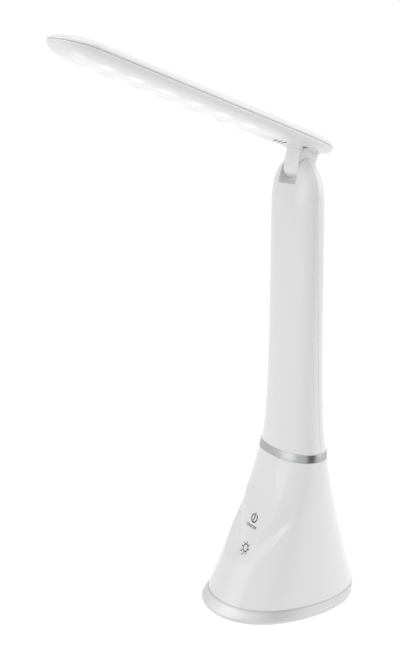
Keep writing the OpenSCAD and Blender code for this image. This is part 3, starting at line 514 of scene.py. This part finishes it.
def dome(z, h, k):    # 1 below the last h, then a superellipse of power k that ends in 0 at the top
    return np.maximum(0, 1 - (np.clip(z - column["top"] + h, 0, h) / h) ** k) ** (1 / k)


def columnMid(z):    # the middle moves forward to the hinge's, by the square of the rise
    return column["hingeY"] + (column["foot"] - column["hingeY"]) * (1 - columnRise(z) ** 2)


def columnPower(z):    # the sections turn from the ring's oval to a fuller one over the first quarter
    return column["footPower"] + (column["power"] - column["footPower"]) * ramp(columnRise(z) * 4)


def seamPlane(z):    # the seam's Y leans forward with height
    return seam["y"] - seam["lean"] * (z - column["low"])


def columnHalf(z):    # half width: a straight taper plus a flare at the foot, times the dome
    r = 1 - columnRise(z)
    flare = column["ringHalf"] - column["half"] - column["taper"]
    half = column["half"] + column["taper"] * r + flare * r ** column["flare"]
    return half * dome(z, column["shoulder"], column["shoulderPower"])


def columnDepth(z):    # half depth, in the same way
    r = 1 - columnRise(z)
    flare = column["ringDepth"] - column["depth"] - column["deepen"]
    depth = column["depth"] + column["deepen"] * r + flare * r ** column["flare"]
    return depth * dome(z, column["nose"], column["nosePower"])


# heights of the sections: the spigot, then close together at the foot and towards the top of the dome
def columnHeights():
    low, kink, dead = column["low"], column["low"] + column["kink"], column["top"] - column["nose"]
    footRows, middleRows, domeRows = column["rows"]
    domeZ = dead + (column["top"] - dead - column["tip"]) * (1 - (1 - np.linspace(0, 1, domeRows)) ** 2)
    z = np.concatenate([[spigot["low"], spigot["high"]], np.linspace(low, kink, footRows)[:-1],
                        np.linspace(kink, dead, middleRows)[:-1], domeZ])
    return z, np.where(np.arange(len(z)) < 2, spigot["inset"], 0.0)


# one shell as a closed solid: at each height an arc of the outline from seam to seam, its edges rounded,
# and a flat back on the seam plane
def columnSolid(side, arc=150, back=7):
    z, inset = columnHeights()
    a, b, k, mid = columnHalf(z) - inset, columnDepth(z) - inset, columnPower(z), columnMid(z)
    plane = seamPlane(z) + side * seam["gap"] / 2
    reach = np.clip((plane - mid) / np.maximum(b, 1e-6), -1, 1)
    start = np.arcsin(signedPower(reach, k / 2))    # angle of the seam on the +X side
    s = (1 - np.cos(np.linspace(0, math.pi, arc))) / 2    # closer together near the seams
    end = math.pi - start if side > 0 else -math.pi - start
    t = start[:, None] + (end - start)[:, None] * s
    x = a[:, None] * signedPower(np.cos(t), 2 / k[:, None])
    y = mid[:, None] + b[:, None] * signedPower(np.sin(t), 2 / k[:, None])
    far = np.abs(y - plane[:, None])
    e = seam["edge"]
    tuck = np.where(far < e, e - np.sqrt(np.maximum(0, e * e - (e - far) ** 2)), 0)
    x = x - np.sign(x) * np.minimum(tuck, np.abs(x) * seam["edgeLimit"])
    across = np.linspace(0, 1, back + 2)[1:-1]
    backX = x[:, -1:] + (x[:, :1] - x[:, -1:]) * across
    backY = y[:, -1:] + (y[:, :1] - y[:, -1:]) * across
    x, y = np.concatenate([x, backX], 1), np.concatenate([y, backY], 1)
    return gridMesh("column", np.stack([x, y, z[:, None] + 0 * x], -1), caps=(True, True), sharp=50)


# the hollow in both shells: the outline less the wall, a step narrower inside the spigot
def columnCavity():
    z = np.concatenate([cavity["lowZ"], np.linspace(cavity["startZ"], column["blockZ"], cavity["rows"])])
    into = column["wall"] + cavity["step"] * (1 - ramp((z - cavity["stepZ"]) / cavity["stepRun"]))
    t = np.linspace(0, 2 * math.pi, cavity["cols"], endpoint=False)
    sectionZ = np.maximum(z, column["low"])
    half, depth = columnHalf(sectionZ) - into, columnDepth(sectionZ) - into
    return gridMesh("cavity", ovalRing(half, depth, columnPower(z), columnMid(z), z, t), caps=(True, True))


def frontSlope():    # the slot's floor falls a little towards the front
    y, z, run, over = column["slopeY"], column["slotZ"], column["slopeRun"], 0.5
    outline = [(y, z), (y - run, z - run * column["slope"]), (y - run, z + over), (y, z + over)]
    across = Matrix(((0, 0, 1, 0), (1, 0, 0, 0), (0, 1, 0, 0), (0, 0, 0, 1)))    # X and Y become Y and Z
    return prism(outline, -column["ear"], column["ear"], across)


def buildColumn():
    ear, slotZ = column["ear"], column["slotZ"]
    for side, name, node in ((-1, "columnFront", "column_front_shell"),
                             (1, "columnRear", "column_rear_shell")):
        slot = boxMesh((-ear, column["slotFront"], slotZ), (ear, column["slotRear"], column["slotTop"]))
        mesh = carve(columnSolid(side), [columnCavity(), slot, frontSlope()], 45)
        makePiece(name, mesh, "stand", "white_housing", white, node)


buildColumn()
print("stage: column")

# head: hull below the parting line, cover above it; u runs along the head from the hinge to its tip, and
# the head's own frame is turned by the tilt and set on the hinge
head = dict(reach=202.5, back=17.1, half=27.3, lift=18.75, hullDepth=5.85, coverHeight=6.31, nose=23.7,
            tail=46.0, gap=0.26, wall=1.6, hullPower=2.86, hullShares=(0.65, 1.28), coverPower=2.73,
            coverShares=(0.75, 0.75), noseRound=1.73, tailRound=2.7, tilt=19.0, edge=0.25, edgeLimit=0.3)
collar = dict(width=17.9, length=17.6, round=2.5, hole=0.1, drop=1.75, wall=0.5, flare=0.8, edge=0.2,
              into=0.12, tailShare=0.4, tailRun=8, top=0.9, innerTop=1.9, gap=0.2, cutLow=3, cutHigh=5)
lip = dict(inset=1.95, wall=0.8, low=-1.0, high=1.0)
screwHole = dict(x=11.8, u=7.3, r=2.2, seat=16.0, pilot=1.2, top=20.0, boss=3.4, bossLow=0.9, bossGap=1)
vents = dict(count=3, length=12, longer=1.8, width=1.2, turn=20, x=-3.2, u=22.8, stepX=1.5, stepU=2.7, deep=4)
middle = (head["reach"] - head["back"]) / 2
toHinge = Matrix.Translation((0, column["hingeY"], column["hingeZ"]))
toRow = toHinge @ Matrix.Rotation(math.radians(-head["tilt"]), 4, "X")
rowTurn, rowShift = np.array(toRow.to_3x3()), np.array(toRow.translation)


# stations along the head and the plan's width share there, for the tail and for the nose: superellipse ends
def headPlan(ends=44, between=50):
    q = np.linspace(0, math.pi / 2, ends)
    tail = head["tail"]
    rearU = tail - head["back"] - tail * np.cos(q) ** (2 / head["tailRound"])
    rearW = np.sin(q) ** (2 / head["tailRound"])
    frontU = head["reach"] - head["nose"] + head["nose"] * np.sin(q) ** (2 / head["noseRound"])
    frontW = np.cos(q) ** (2 / head["noseRound"])
    straightU = np.linspace(rearU[-1], frontU[0], between)[1:-1]
    rear = np.concatenate([rearW, 0 * straightU + 1, 0 * frontW + 1])
    front = np.concatenate([0 * rearW + 1, 0 * straightU + 1, np.clip(frontW, 0, 1)])
    return np.concatenate([rearU, straightU, frontU]), rear, front


def lengthScale(inset):    # what the length is drawn together by, about its middle, to lie an inset inside
    return 1 - 2 * inset / (head["reach"] + head["back"])


# half of a flat shell as a closed skin: the outside arc, the rim, and the inside arc back; each arc is the
# plan's half width and the depth times a superellipse, and the rim's outer edge is softened
def headShell(name, up, deep, power, shares, cols=90):
    u, rear, front = headPlan()
    w, depthShare = rear * front, rear ** shares[0] * front ** shares[1]
    q = np.linspace(-math.pi / 2, math.pi / 2, cols)
    across, down = signedPower(np.sin(q), 2 / power), np.cos(q) ** (2 / power)
    rows = []
    for inset, way in ((0, 1), (head["wall"], -1)):
        x = (head["half"] - inset) * w[:, None] * across[None, ::way]
        n = up * (deep - inset) * depthShare[:, None] * down[None, ::way]
        rows.append(np.stack([x, -(middle + (u[:, None] - middle) * lengthScale(inset)) + 0 * x, n], -1))
    ring = np.concatenate(rows, 1)
    near = np.clip(1 - np.abs(ring[..., 2]) / head["edge"], 0, 1)
    tuck = head["edge"] * (1 - np.sqrt(np.maximum(0, 1 - near ** 2)))
    outside = np.arange(ring.shape[1]) < cols
    x = ring[..., 0]
    ring[..., 0] -= np.sign(x) * np.minimum(tuck, np.abs(x) * head["edgeLimit"]) * outside
    ring[..., 2] += head["lift"] + (head["gap"] if up > 0 else 0)
    return gridMesh(name, ring @ rowTurn.T + rowShift, merge=True, sharp=38)


def onHead(outline, low, high):    # a prism in the head's frame
    return prism(outline, low, high, toRow)


def roundedRectangle(width, length, r, n=8):    # a quarter circle of radius r about each corner's centre
    t = np.linspace(0, math.pi / 2, n)
    corners = [(width / 2 - r, length / 2 - r, 0), (r - width / 2, length / 2 - r, 1),
               (r - width / 2, r - length / 2, 2), (width / 2 - r, r - length / 2, 3)]
    arcs = []
    for x, y, i in corners:
        angle = t + i * math.pi / 2
        arcs.append(np.column_stack([x + r * np.cos(angle), y + r * np.sin(angle)]))
    return np.concatenate(arcs)


def neckOutline(grow):    # the neck's outline, grown outwards
    return roundedRectangle(collar["width"] + 2 * grow, collar["length"] + 2 * grow, collar["round"] + grow)


def hullFace(x, u):    # height of the hull's outside near the tail: parting line less the depth of its arc
    rear = np.clip((head["tail"] - head["back"] - u) / head["tail"], 0, 1)
    w = (1 - rear ** head["tailRound"]) ** (1 / head["tailRound"])
    k = head["hullPower"]
    across = np.clip(1 - (np.abs(x) / (head["half"] * w)) ** k, 0, 1) ** (1 / k)
    return head["lift"] - head["hullDepth"] * w ** head["hullShares"][0] * across


# collar of the hull round the neck: the neck's outline grown outwards, a rounded lower edge, then upright and
# flaring into the hull; it is shallower towards the tail, and closes on itself inside the hull's wall
def collarMesh():
    edge, wall, flare = collar["edge"], collar["wall"], collar["flare"]
    q = np.linspace(0, math.pi / 2, 9)
    low, high = q[::2], q[1:]
    flaring = edge + wall + flare * (1 - np.cos(high))
    grow = np.concatenate([[collar["hole"]], wall + edge * np.sin(low), flaring])
    rise = np.concatenate([[0], edge - edge * np.cos(low), 0 * high])[:, None]
    share = np.concatenate([0 * low, [0], np.sin(high)])[:, None]
    rings = np.stack([neckOutline(g) for g in grow])
    top = hullFace(rings[..., 0], -rings[..., 1]) + collar["into"]
    towardsTail = ramp((rings[2, :, 1] - 1) / collar["tailRun"])
    foot = top[2] - collar["drop"] * (1 - collar["tailShare"] * towardsTail)
    n = foot + rise + (top - foot - edge) * share + edge * (share > 0)
    outer = np.concatenate([rings, n[..., None]], -1)
    last = outer[-1:].copy()
    last[..., 2] += collar["top"]
    innerZ = np.full(rings[:1].shape[:2] + (1,), head["lift"] - head["hullDepth"] + collar["innerTop"])
    inner = np.concatenate([rings[:1], innerZ], -1)
    return gridMesh("collar", np.concatenate([outer, last, inner]) @ rowTurn.T + rowShift, rowsClose=True)


# lip of the hull that locates the cover: a thin wall that follows the plan, set in from the edge
def lipMesh():
    u, rear, front = headPlan(30, 30)
    w = rear * front
    u, w = np.concatenate([u, u[::-1][1:-1]]), np.concatenate([w, -w[::-1][1:-1]])
    near, far = lip["inset"], lip["inset"] + lip["wall"]
    rows = []
    for inset, n in ((near, lip["low"]), (near, lip["high"]), (far, lip["high"]), (far, lip["low"])):
        y = -(middle + (u - middle) * lengthScale(inset))
        rows.append(np.column_stack([(head["half"] - inset) * w, y, 0 * u + head["lift"] + n]))
    return gridMesh("lip", np.stack(rows) @ rowTurn.T + rowShift, rowsClose=True)


def buildHead():
    bottom = head["lift"] - head["hullDepth"]
    under = bottom - 1    # where the cutters of the slots and the screw holes start
    cuts = []
    for i in range(vents["count"]):
        at = (vents["x"] + vents["stepX"] * i, -vents["u"] + vents["stepU"] * i)
        outline = slotOutline(vents["length"] + vents["longer"] * i, vents["width"], -vents["turn"], at)
        cuts.append(onHead(outline, under, bottom + vents["deep"]))
    spots = [(side * screwHole["x"], -screwHole["u"]) for side in (-1, 1)]
    cuts += [onHead(circleOutline(screwHole["r"], at), under, screwHole["seat"]) for at in spots]
    cuts += [onHead(circleOutline(screwHole["pilot"], at), under, screwHole["top"]) for at in spots]
    cuts += [onHead(neckOutline(collar["gap"]), bottom - collar["cutLow"], bottom + collar["cutHigh"])]
    bossLow, bossHigh = bottom + screwHole["bossLow"], head["lift"] - screwHole["bossGap"]
    adds = [collarMesh(), lipMesh()]
    adds += [onHead(circleOutline(screwHole["boss"], at), bossLow, bossHigh) for at in spots]
    hull = headShell("headHull", -1, head["hullDepth"], head["hullPower"], head["hullShares"])
    makePiece("headHull", carve(hull, cuts, 38, adds), "head", "diffuser_white", hullWhite, "head_hull")
    cover = headShell("headCover", 1, head["coverHeight"], head["coverPower"], head["coverShares"])
    makePiece("headCover", cover, "head", "white_housing", white, "head_cover")


# light that comes through the hull: two rows of spots, side mm to each side of the middle, in a soft band
glow = dict(side=11.3, edge=2.0, soft=20.0, start=28.0, startRun=16.0, end=194.0, endRun=14.0, first=55.4,
            pitch=22.2, spotLong=5.5, spotWide=5.0, band=0.11, spot=0.17, below=2.0)
# painted shade inside the slots, within these limits, and inside the screw holes, a little wider than they
# are
slotShade = dict(deep=0.25, shadeFade=0.2, start=13.6, end=34.0, half=12.0, sharp=4.0, wider=0.12, tone=0.2)
hullSkin = dict(low=0.94, high=0.96, rough=0.3, coat=0.2, coatRough=0.1, grain=0.000002, warm=(1, 1, 0.99, 1),
                facing=0.1, facingRun=0.3)


# the hull's white, lit from inside by the LEDs
def litPlastic(name):
    kit = Finish(name)
    at = kit.coords()
    own = kit.node("ShaderNodeMapping", {"vector_type": "TEXTURE"},
                   {"Vector": at, "Location": tuple(v * mm for v in rowShift),
                    "Rotation": (math.radians(-head["tilt"]), 0, 0)})
    x, y, n = kit.split(own)
    x, u, n = x * 1000.0, y * -1000.0, n * 1000.0
    along = ((u - glow["start"]) / glow["startRun"]).eased() * ((glow["end"] - u) / glow["endRun"]).eased()
    band = (1.0 - ((x.size() - glow["edge"]) / glow["soft"]).eased()) * along
    phase = (u - glow["first"]) / glow["pitch"] + 0.5
    off = (kit.maths("FRACT", phase) - 0.5) * glow["pitch"]
    aside = x.size() - glow["side"]
    reach = off * off / glow["spotLong"] ** 2 + aside * aside / glow["spotWide"] ** 2
    spot = kit.maths("EXPONENT", reach * -1.0) * along
    # painted shade: deeper than the hull's face, between the slots' ends, or in a screw hole
    depth = n - (head["lift"] - head["hullDepth"])
    sharp = slotShade["sharp"]
    shadeInSlots = ((depth - slotShade["deep"]) / slotShade["shadeFade"]).eased() * ((u - slotShade["start"]) * sharp).clip()
    shadeInSlots = shadeInSlots * ((slotShade["end"] - u) * sharp).clip() * ((slotShade["half"] - x.size()) * sharp).clip()
    fromX, fromU = x.size() - screwHole["x"], u - screwHole["u"]
    shadeInHoles = ((screwHole["r"] + slotShade["wider"]) ** 2 - fromX * fromX - fromU * fromU).clip()
    paintedShade = shadeInSlots.most(shadeInHoles)
    # only faces that look down from the head glow, fading in below the parting line
    facing = kit.split(kit.coords("Normal"))
    down = math.radians(head["tilt"])
    towards = facing[1] * -math.sin(down) + facing[2] * -math.cos(down)
    lookingDown = ((towards - hullSkin["facing"]) / hullSkin["facingRun"]).eased()
    below = ((head["lift"] - n) / glow["below"]).eased() * lookingDown * (1.0 - paintedShade)
    light = (band * glow["band"] + spot * glow["spot"]) * below
    cloud = kit.noise(at, moulding["cloud"])
    fine = kit.noise(at, moulding["grainScale"])
    skin = kit.blend(cloud, mixed(hullSkin["low"]), mixed(hullSkin["high"]))
    gloss = (cloud - 0.5) * moulding["cloudGloss"] + hullSkin["rough"]
    # the base colour turns dark where the painted shade of the slots and screw holes lies
    return kit.fill(Base_Color=kit.blend(paintedShade, skin, mixed(slotShade["tone"])), Roughness=gloss,
                    IOR=moulding["ior"], Coat_Weight=hullSkin["coat"], Coat_Roughness=hullSkin["coatRough"],
                    Emission_Color=kit.blend(light.clip(), black, hullSkin["warm"]), Emission_Strength=1.0,
                    Normal=kit.bump(fine, hullSkin["grain"]))


hullWhite = litPlastic("hullWhite")
buildHead()
print("stage: head")

# printed signs on the touch panel: thin solids in the panel's own two directions, laid on its face; a place
# is (x, height above the table), the rest are sizes in mm, and the gap in the power sign is in degrees
signs = dict(proud=0.03, sunk=0.05, power=(-0.8, 65.7), powerRing=3.25, powerStroke=1.1, powerGap=41,
             bar=(-1.4, 3.7), word=(-1.2, 59.5), wordHeight=2.5, wordWidth=12.6, wordWeight=0.018,
             sun=(0.0, 43.8), sunRing=2.8, sunStroke=0.85, rays=(3.8, 4.6), rayStroke=0.75, rayStep=45)


def shellFront(x, z):    # the base shell's front face in Y at any x and z
    return baseMid(z) - (baseMid(z) - baseEnd(z, -1)) * ovalShare(x, z) + scoopDepth(x, z)


# lays points on the panel: x and height along the panel from a centre, and height out of it
def onPanel(points, centre):
    lean = math.radians(panel["lean"])
    x = centre[0] + points[:, 0]
    z = centre[1] + points[:, 1] * math.cos(lean)
    y = shellFront(x, z) - points[:, 2] * math.cos(lean)
    return np.column_stack([x, y, z + points[:, 2] * math.sin(lean)])


# a bar with round ends, bent along a path of points in the plane
def strokeMesh(path, width, centre):
    path = np.asarray(path, float)
    way = np.gradient(path, axis=0)
    way /= np.linalg.norm(way, axis=1)[:, None]
    side = np.column_stack([-way[:, 1], way[:, 0]]) * width / 2
    cap = np.linspace(0, math.pi, 9)[1:-1]
    start = path[0] - np.outer(np.sin(cap), way[0]) * width / 2 - np.outer(np.cos(cap), side[0])
    end = path[-1] + np.outer(np.sin(cap), way[-1]) * width / 2 + np.outer(np.cos(cap), side[-1])
    outline = np.concatenate([path + side, end, (path - side)[::-1], start])
    rings = [np.column_stack([outline, np.full(len(outline), h)]) for h in (-signs["sunk"], signs["proud"])]
    return gridMesh("stroke", np.stack([onPanel(ring, centre) for ring in rings]), caps=(True, True))


def ringMesh(r, width, centre):    # a flat ring: four corners of its section carried round a circle
    t = np.linspace(0, 2 * math.pi, 64, endpoint=False)
    near, far, low, high = r - width / 2, r + width / 2, -signs["sunk"], signs["proud"]
    rings = [onPanel(np.column_stack([a * np.cos(t), a * np.sin(t), 0 * t + h]), centre)
             for a, h in ((near, low), (far, low), (far, high), (near, high))]
    return gridMesh("ring", np.stack(rings), rowsClose=True)


def arcPath(r, start, end, n=49):
    t = np.radians(np.linspace(start, end, n))
    return np.column_stack([r * np.cos(t), r * np.sin(t)])


def joinMeshes(name, meshes):
    bm = bmesh.new()
    for mesh in meshes:
        bm.from_mesh(mesh)
    joined = bpy.data.meshes.new(name)
    bm.to_mesh(joined)
    bm.free()
    return joined


# letters made solid, stretched to their width and height, then laid on the panel
def wordMesh(word, centre):
    text = bpy.data.curves.new("word", "FONT")
    text.body = word
    text.size = 1.0
    text.extrude = 0.1
    text.resolution_u = 6
    text.offset = signs["wordWeight"]
    piece = bpy.data.objects.new("word", text)
    scene.collection.objects.link(piece)
    bpy.context.view_layer.update()
    mesh = bpy.data.meshes.new_from_object(piece.evaluated_get(bpy.context.evaluated_depsgraph_get()))
    bpy.data.objects.remove(piece)
    points = np.empty(len(mesh.vertices) * 3)
    mesh.vertices.foreach_get("co", points)
    points = points.reshape(-1, 3)
    low, high = points.min(0), points.max(0)
    share = (points - low) / (high - low) - (0.5, 0.5, 0)
    size = (signs["wordWidth"], signs["wordHeight"], signs["proud"] + signs["sunk"])
    flat = share * size - (0, 0, signs["sunk"])
    mesh.vertices.foreach_set("co", (onPanel(flat, centre) * mm).ravel())
    mesh.update()
    return mesh


def buildSigns():
    ring = arcPath(signs["powerRing"], 90 + signs["powerGap"], 450 - signs["powerGap"])
    bar = [(0, v) for v in np.linspace(*signs["bar"], 9)]
    power = [strokeMesh(path, signs["powerStroke"], signs["power"]) for path in (ring, bar)]
    sun = [ringMesh(signs["sunRing"], signs["sunStroke"], signs["sun"])]
    for angle in np.radians(np.arange(0, 360, signs["rayStep"])):
        ray = [(r * math.cos(angle), r * math.sin(angle)) for r in signs["rays"]]
        sun.append(strokeMesh(ray, signs["rayStroke"], signs["sun"]))
    word = [wordMesh("ON/OFF", signs["word"])]
    for name, meshes in (("powerSign", power), ("sunSign", sun), ("powerWord", word)):
        makePiece(name, joinMeshes(name, meshes), "stand", "white_housing", printInk)


printInk = plastic("printInk", 0.05, 0.6, grain=0.000004, drift=0.02)
buildSigns()
print("stage: printed signs")

# floor, background and lamps, in metres and watts: what the camera, metal and glass see of the floor and the
# world is bright, and what falls on the lamp from them is softer
stage = dict(floorHalf=6, floorZ=-0.0002, glow=0.86, shade=0.4, bounce=0.88, rough=0.7, soft=0.45, bright=1.0,
             aim=(0, 0, 0.2))
lamps = {"keyLight": dict(place=(0.75, 1.05, 0.9), width=1.0, height=1.4, power=7.8),
         "sideLight": dict(place=(-0.3, -1.3, 0.8), width=1.0, height=1.2, power=5.2),
         "topLight": dict(place=(0.2, -0.2, 1.8), width=1.2, height=1.2, power=8)}
card = dict(x=1.1, front=-0.5, rear=0.38, low=-0.1, high=1.2, tone=0.2, rough=0.9)
pureWhite = (1, 1, 1, 1)


def stagePiece(name, corners, material):
    mesh = bpy.data.meshes.new(name)
    mesh.from_pydata(corners, [], [(0, 1, 2, 3)])
    mesh.materials.append(material)
    piece = bpy.data.objects.new(name, mesh)
    scene.collection.objects.link(piece)
    return piece


def seenDirectly(kit):    # 1 for what the camera, metal or glass looks at, 0 for light on other things
    direct = kit.node("ShaderNodeLightPath", {}, {}, "Is Camera Ray")
    glossy, through = kit.outputs(direct, "Is Glossy Ray", "Is Transmission Ray")
    return direct.most(glossy).most(through)


def buildFloor():
    kit = Finish("paleFloor")
    shine = kit.node("ShaderNodeEmission", {}, {"Color": pureWhite, "Strength": stage["glow"]})
    shaded = kit.node("ShaderNodeBsdfDiffuse", {}, {"Color": (stage["shade"],) * 3 + (1,)})
    shown = kit.node("ShaderNodeAddShader", {}, {0: shine, 1: shaded})
    kit.fill(Base_Color=(stage["bounce"],) * 3 + (1,), Roughness=stage["rough"])
    plain = Wire(kit, kit.shader.outputs[0])
    both = kit.node("ShaderNodeMixShader", {}, {0: seenDirectly(kit), 1: plain, 2: shown})
    kit.feed(kit.tree.nodes["Material Output"].inputs["Surface"], both)
    r, z = stage["floorHalf"], stage["floorZ"]
    stagePiece("floor", [(-r, -r, z), (r, -r, z), (r, r, z), (-r, r, z)], kit.material)


def buildWorld():
    world = bpy.data.worlds.new("studio")
    scene.world = world
    world.use_nodes = True
    kit = Kit(world.node_tree)
    soft, bright = (kit.node("ShaderNodeBackground", {}, {"Color": pureWhite, "Strength": stage[name]})
                    for name in ("soft", "bright"))
    both = kit.node("ShaderNodeMixShader", {}, {0: seenDirectly(kit), 1: soft, 2: bright})
    kit.feed(kit.tree.nodes["World Output"].inputs["Surface"], both)


def softbox(name, place, width, height, power):
    data = bpy.data.lights.new(name, "AREA")
    data.shape = "RECTANGLE"
    data.size = width
    data.size_y = height
    data.energy = power
    lamp = bpy.data.objects.new(name, data)
    scene.collection.objects.link(lamp)
    lamp.location = place
    lamp.rotation_euler = (Vector(stage["aim"]) - Vector(place)).to_track_quat("-Z", "Y").to_euler()


# a dark card beside the lamp, which only shows as a reflection in the metal and the gloss
def buildCard():
    x, front, rear, low, high = (card[name] for name in ("x", "front", "rear", "low", "high"))
    corners = [(x, front, low), (x, rear, low), (x, rear, high), (x, front, high)]
    piece = stagePiece("darkCard", corners, plastic("darkCard", card["tone"], card["rough"]))
    piece.visible_camera = False
    piece.visible_diffuse = False
    piece.visible_shadow = False
    piece.visible_transmission = False


buildFloor()
buildWorld()
for name, lamp in lamps.items():
    softbox(name, **lamp)
buildCard()
print("stage: light and floor")

# finishes of the construction's own pieces, by their slot
finishes = {
    # the neck's white is a lighter copy of the housing's white: painted light against the shade the hull
    # casts on it
    "neck_plastic": plastic("neckPlasticLightened", 0.97, 0.28, coat=0.2),
    "foot_rubber": plastic("footRubber", 0.38, 0.8, grain=0.00006, grainScale=900, drift=0.02),
    "steel_screw": metal("zincScrew", 0.8, 0.3, lines=(500, 500, 500), tint=0.015),
    "pressed_steel": metal("pressedSteel", 0.77, 0.36, lines=(60, 900, 900), drift=0.03),
    "ballast_iron": metal("castIron", 0.57, 0.62, lines=(420, 420, 420), depth=0.00008, drift=0.07,
                          metallic=0.7),
    "inner_plastic": plastic("innerPlastic", 0.9, 0.5, grain=0.00002),
    "cell_wrap": plastic("cellWrap", (0.6, 0.74, 0.85), 0.32, drift=0.01, coat=0.3),
    "board_green": plastic("boardGreen", (0.38, 0.61, 0.48), 0.38, grain=0.00001, grainScale=1200, drift=0.03,
                           coat=0.4),
    "touch_foam": plastic("touchFoam", 0.55, 0.85, grain=0.00012, grainScale=1600, drift=0.04),
    "socket_metal": metal("socketMetal", 0.82, 0.26, lines=(900, 90, 900)),
    "washer_plastic": plastic("washerPlastic", 0.35, 0.45, drift=0.015),
    "lead_sheath": plastic("leadSheath", 0.93, 0.42, drift=0.015),
    "led_board_white": plastic("ledBoardWhite", 0.955, 0.4, coat=0.2),
    "led_phosphor": plastic("ledPhosphor", (0.985, 0.96, 0.8), 0.4, drift=0.01),
    "reflector_white": plastic("reflectorWhite", 0.98, 0.5, drift=0.008)}
for part in frame["record"]["subparts"]:
    if part["material_slot"] in finishes:
        piece = nodes[part["node"]]
        if not piece.data.materials:
            piece.data.materials.append(None)
        for holder in piece.material_slots:
            holder.link = "OBJECT"
            holder.material = finishes[part["material_slot"]]
print("stage: finishes of the inner pieces")
